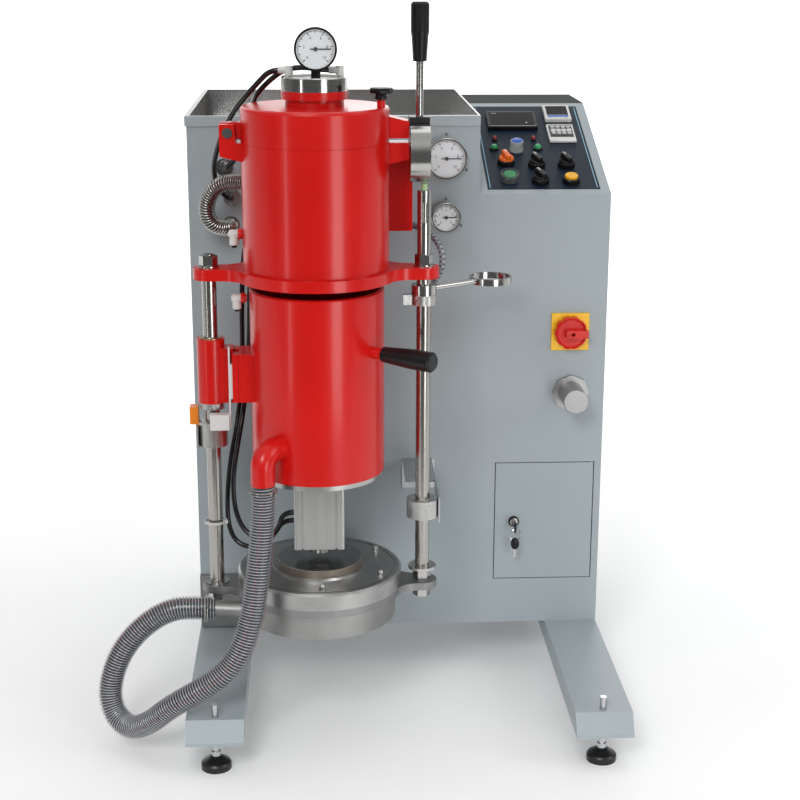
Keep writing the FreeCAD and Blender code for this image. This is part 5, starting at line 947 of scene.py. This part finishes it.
for number in range(4):
    made.box(196.2, -82.0, 216.5 + number * 3.2, 1.6, 1.4, 1.5, "steel", 0.2)
made.finish("lock_and_keys", "door_lock", ("lock_and_key",), "polished_steel")

# ---------------------------------------------------------------- stage and light

# A sheet of pale paper that rises behind the machine and grows brighter to the rear.
ground = bmesh.new()
bmesh.ops.create_grid(ground, x_segments=1, y_segments=1, size=1.0,
                      matrix=Matrix.Translation((0, 3.2, 0)) @ Matrix.Diagonal((9, 4.6, 1, 1)))
rear_edge = [edge for edge in ground.edges if all(spot.co.y > 7 for spot in edge.verts)]
rising = bmesh.ops.extrude_edge_only(ground, edges=rear_edge)["geom"]
bmesh.ops.translate(ground, vec=(0, 0.6, 7), verts=corners_of(rising))
sheet = bpy.data.meshes.new("floor")
ground.to_mesh(sheet)
ground.free()
paper = Finish("pale_paper", (0.90, 0.90, 0.90), 0.8).cloud(0.02, 3)
glow = paper.spread(paper.along(BACK), (-0.8, 4.0), (0.06, 0.66),
                    interpolation_type="SMOOTHSTEP")
paper.shader.inputs["Emission Color"].default_value = (1, 1, 1, 1)
paper.link(glow, paper.shader.inputs["Emission Strength"])
sheet.materials.append(paper.done())
floor = bpy.data.objects.new("floor", sheet)
bpy.context.scene.collection.objects.link(floor)

# A sky that lights more from above, and looks nearly white to the camera.
SEEN_SKY = 0.95
world = bpy.data.worlds.new("studio")
world.use_nodes = True
nodes, links = world.node_tree.nodes, world.node_tree.links
sky = next(node for node in nodes if node.type == "BACKGROUND")
place = nodes.new("ShaderNodeTexCoord")
part = nodes.new("ShaderNodeSeparateXYZ")
links.new(place.outputs["Generated"], part.inputs[0])
ramp = nodes.new("ShaderNodeMapRange")
ramp.interpolation_type = "SMOOTHSTEP"
links.new(part.outputs["Z"], ramp.inputs["Value"])
for socket, value in (("From Min", 0.0), ("From Max", 0.7), ("To Min", 0.12), ("To Max", 0.62)):
    ramp.inputs[socket].default_value = value
seen = nodes.new("ShaderNodeMix")
links.new(nodes.new("ShaderNodeLightPath").outputs["Is Camera Ray"], seen.inputs["Factor"])
links.new(ramp.outputs[0], seen.inputs[2])
seen.inputs[3].default_value = SEEN_SKY
links.new(seen.outputs[0], sky.inputs["Strength"])
sky.inputs["Color"].default_value = (1, 1, 1, 1)
bpy.context.scene.world = world
bpy.context.scene.view_settings.view_transform = "Standard"


def softbox(name, place, target, size, power):
    """A flat lamp that looks at a point."""
    light = bpy.data.lights.new(name, "AREA")
    light.shape, light.size, light.size_y, light.energy = "RECTANGLE", size[0], size[1], power
    made = bpy.data.objects.new(name, light)
    aim = (Vector(target) - Vector(place)).to_track_quat("-Z", "Y").to_matrix().to_4x4()
    made.matrix_world = Matrix.Translation(place) @ aim
    bpy.context.scene.collection.objects.link(made)


softbox("key", (-0.9, -3.0, 2.4), (-0.1, -0.2, 0.6), (1.0, 1.2), 44)
softbox("strip", (0.95, -1.95, 0.42), (-0.135, -0.25, 0.5), (0.60, 0.90), 9)
softbox("low_fill", (-1.5, -1.6, 0.5), (-0.135, -0.25, 0.5), (0.16, 0.9), 2)
softbox("side", (2.8, -1.2, 1.8), (0, 0, 0.5), (1.4, 1.4), 16)
softbox("top", (0.2, 0.4, 3.2), (0, 0, 0.6), (2.0, 2.0), 12)
softbox("rear", (0.6, 3.4, 2.2), (0, 0, 0.6), (1.6, 1.6), 14)
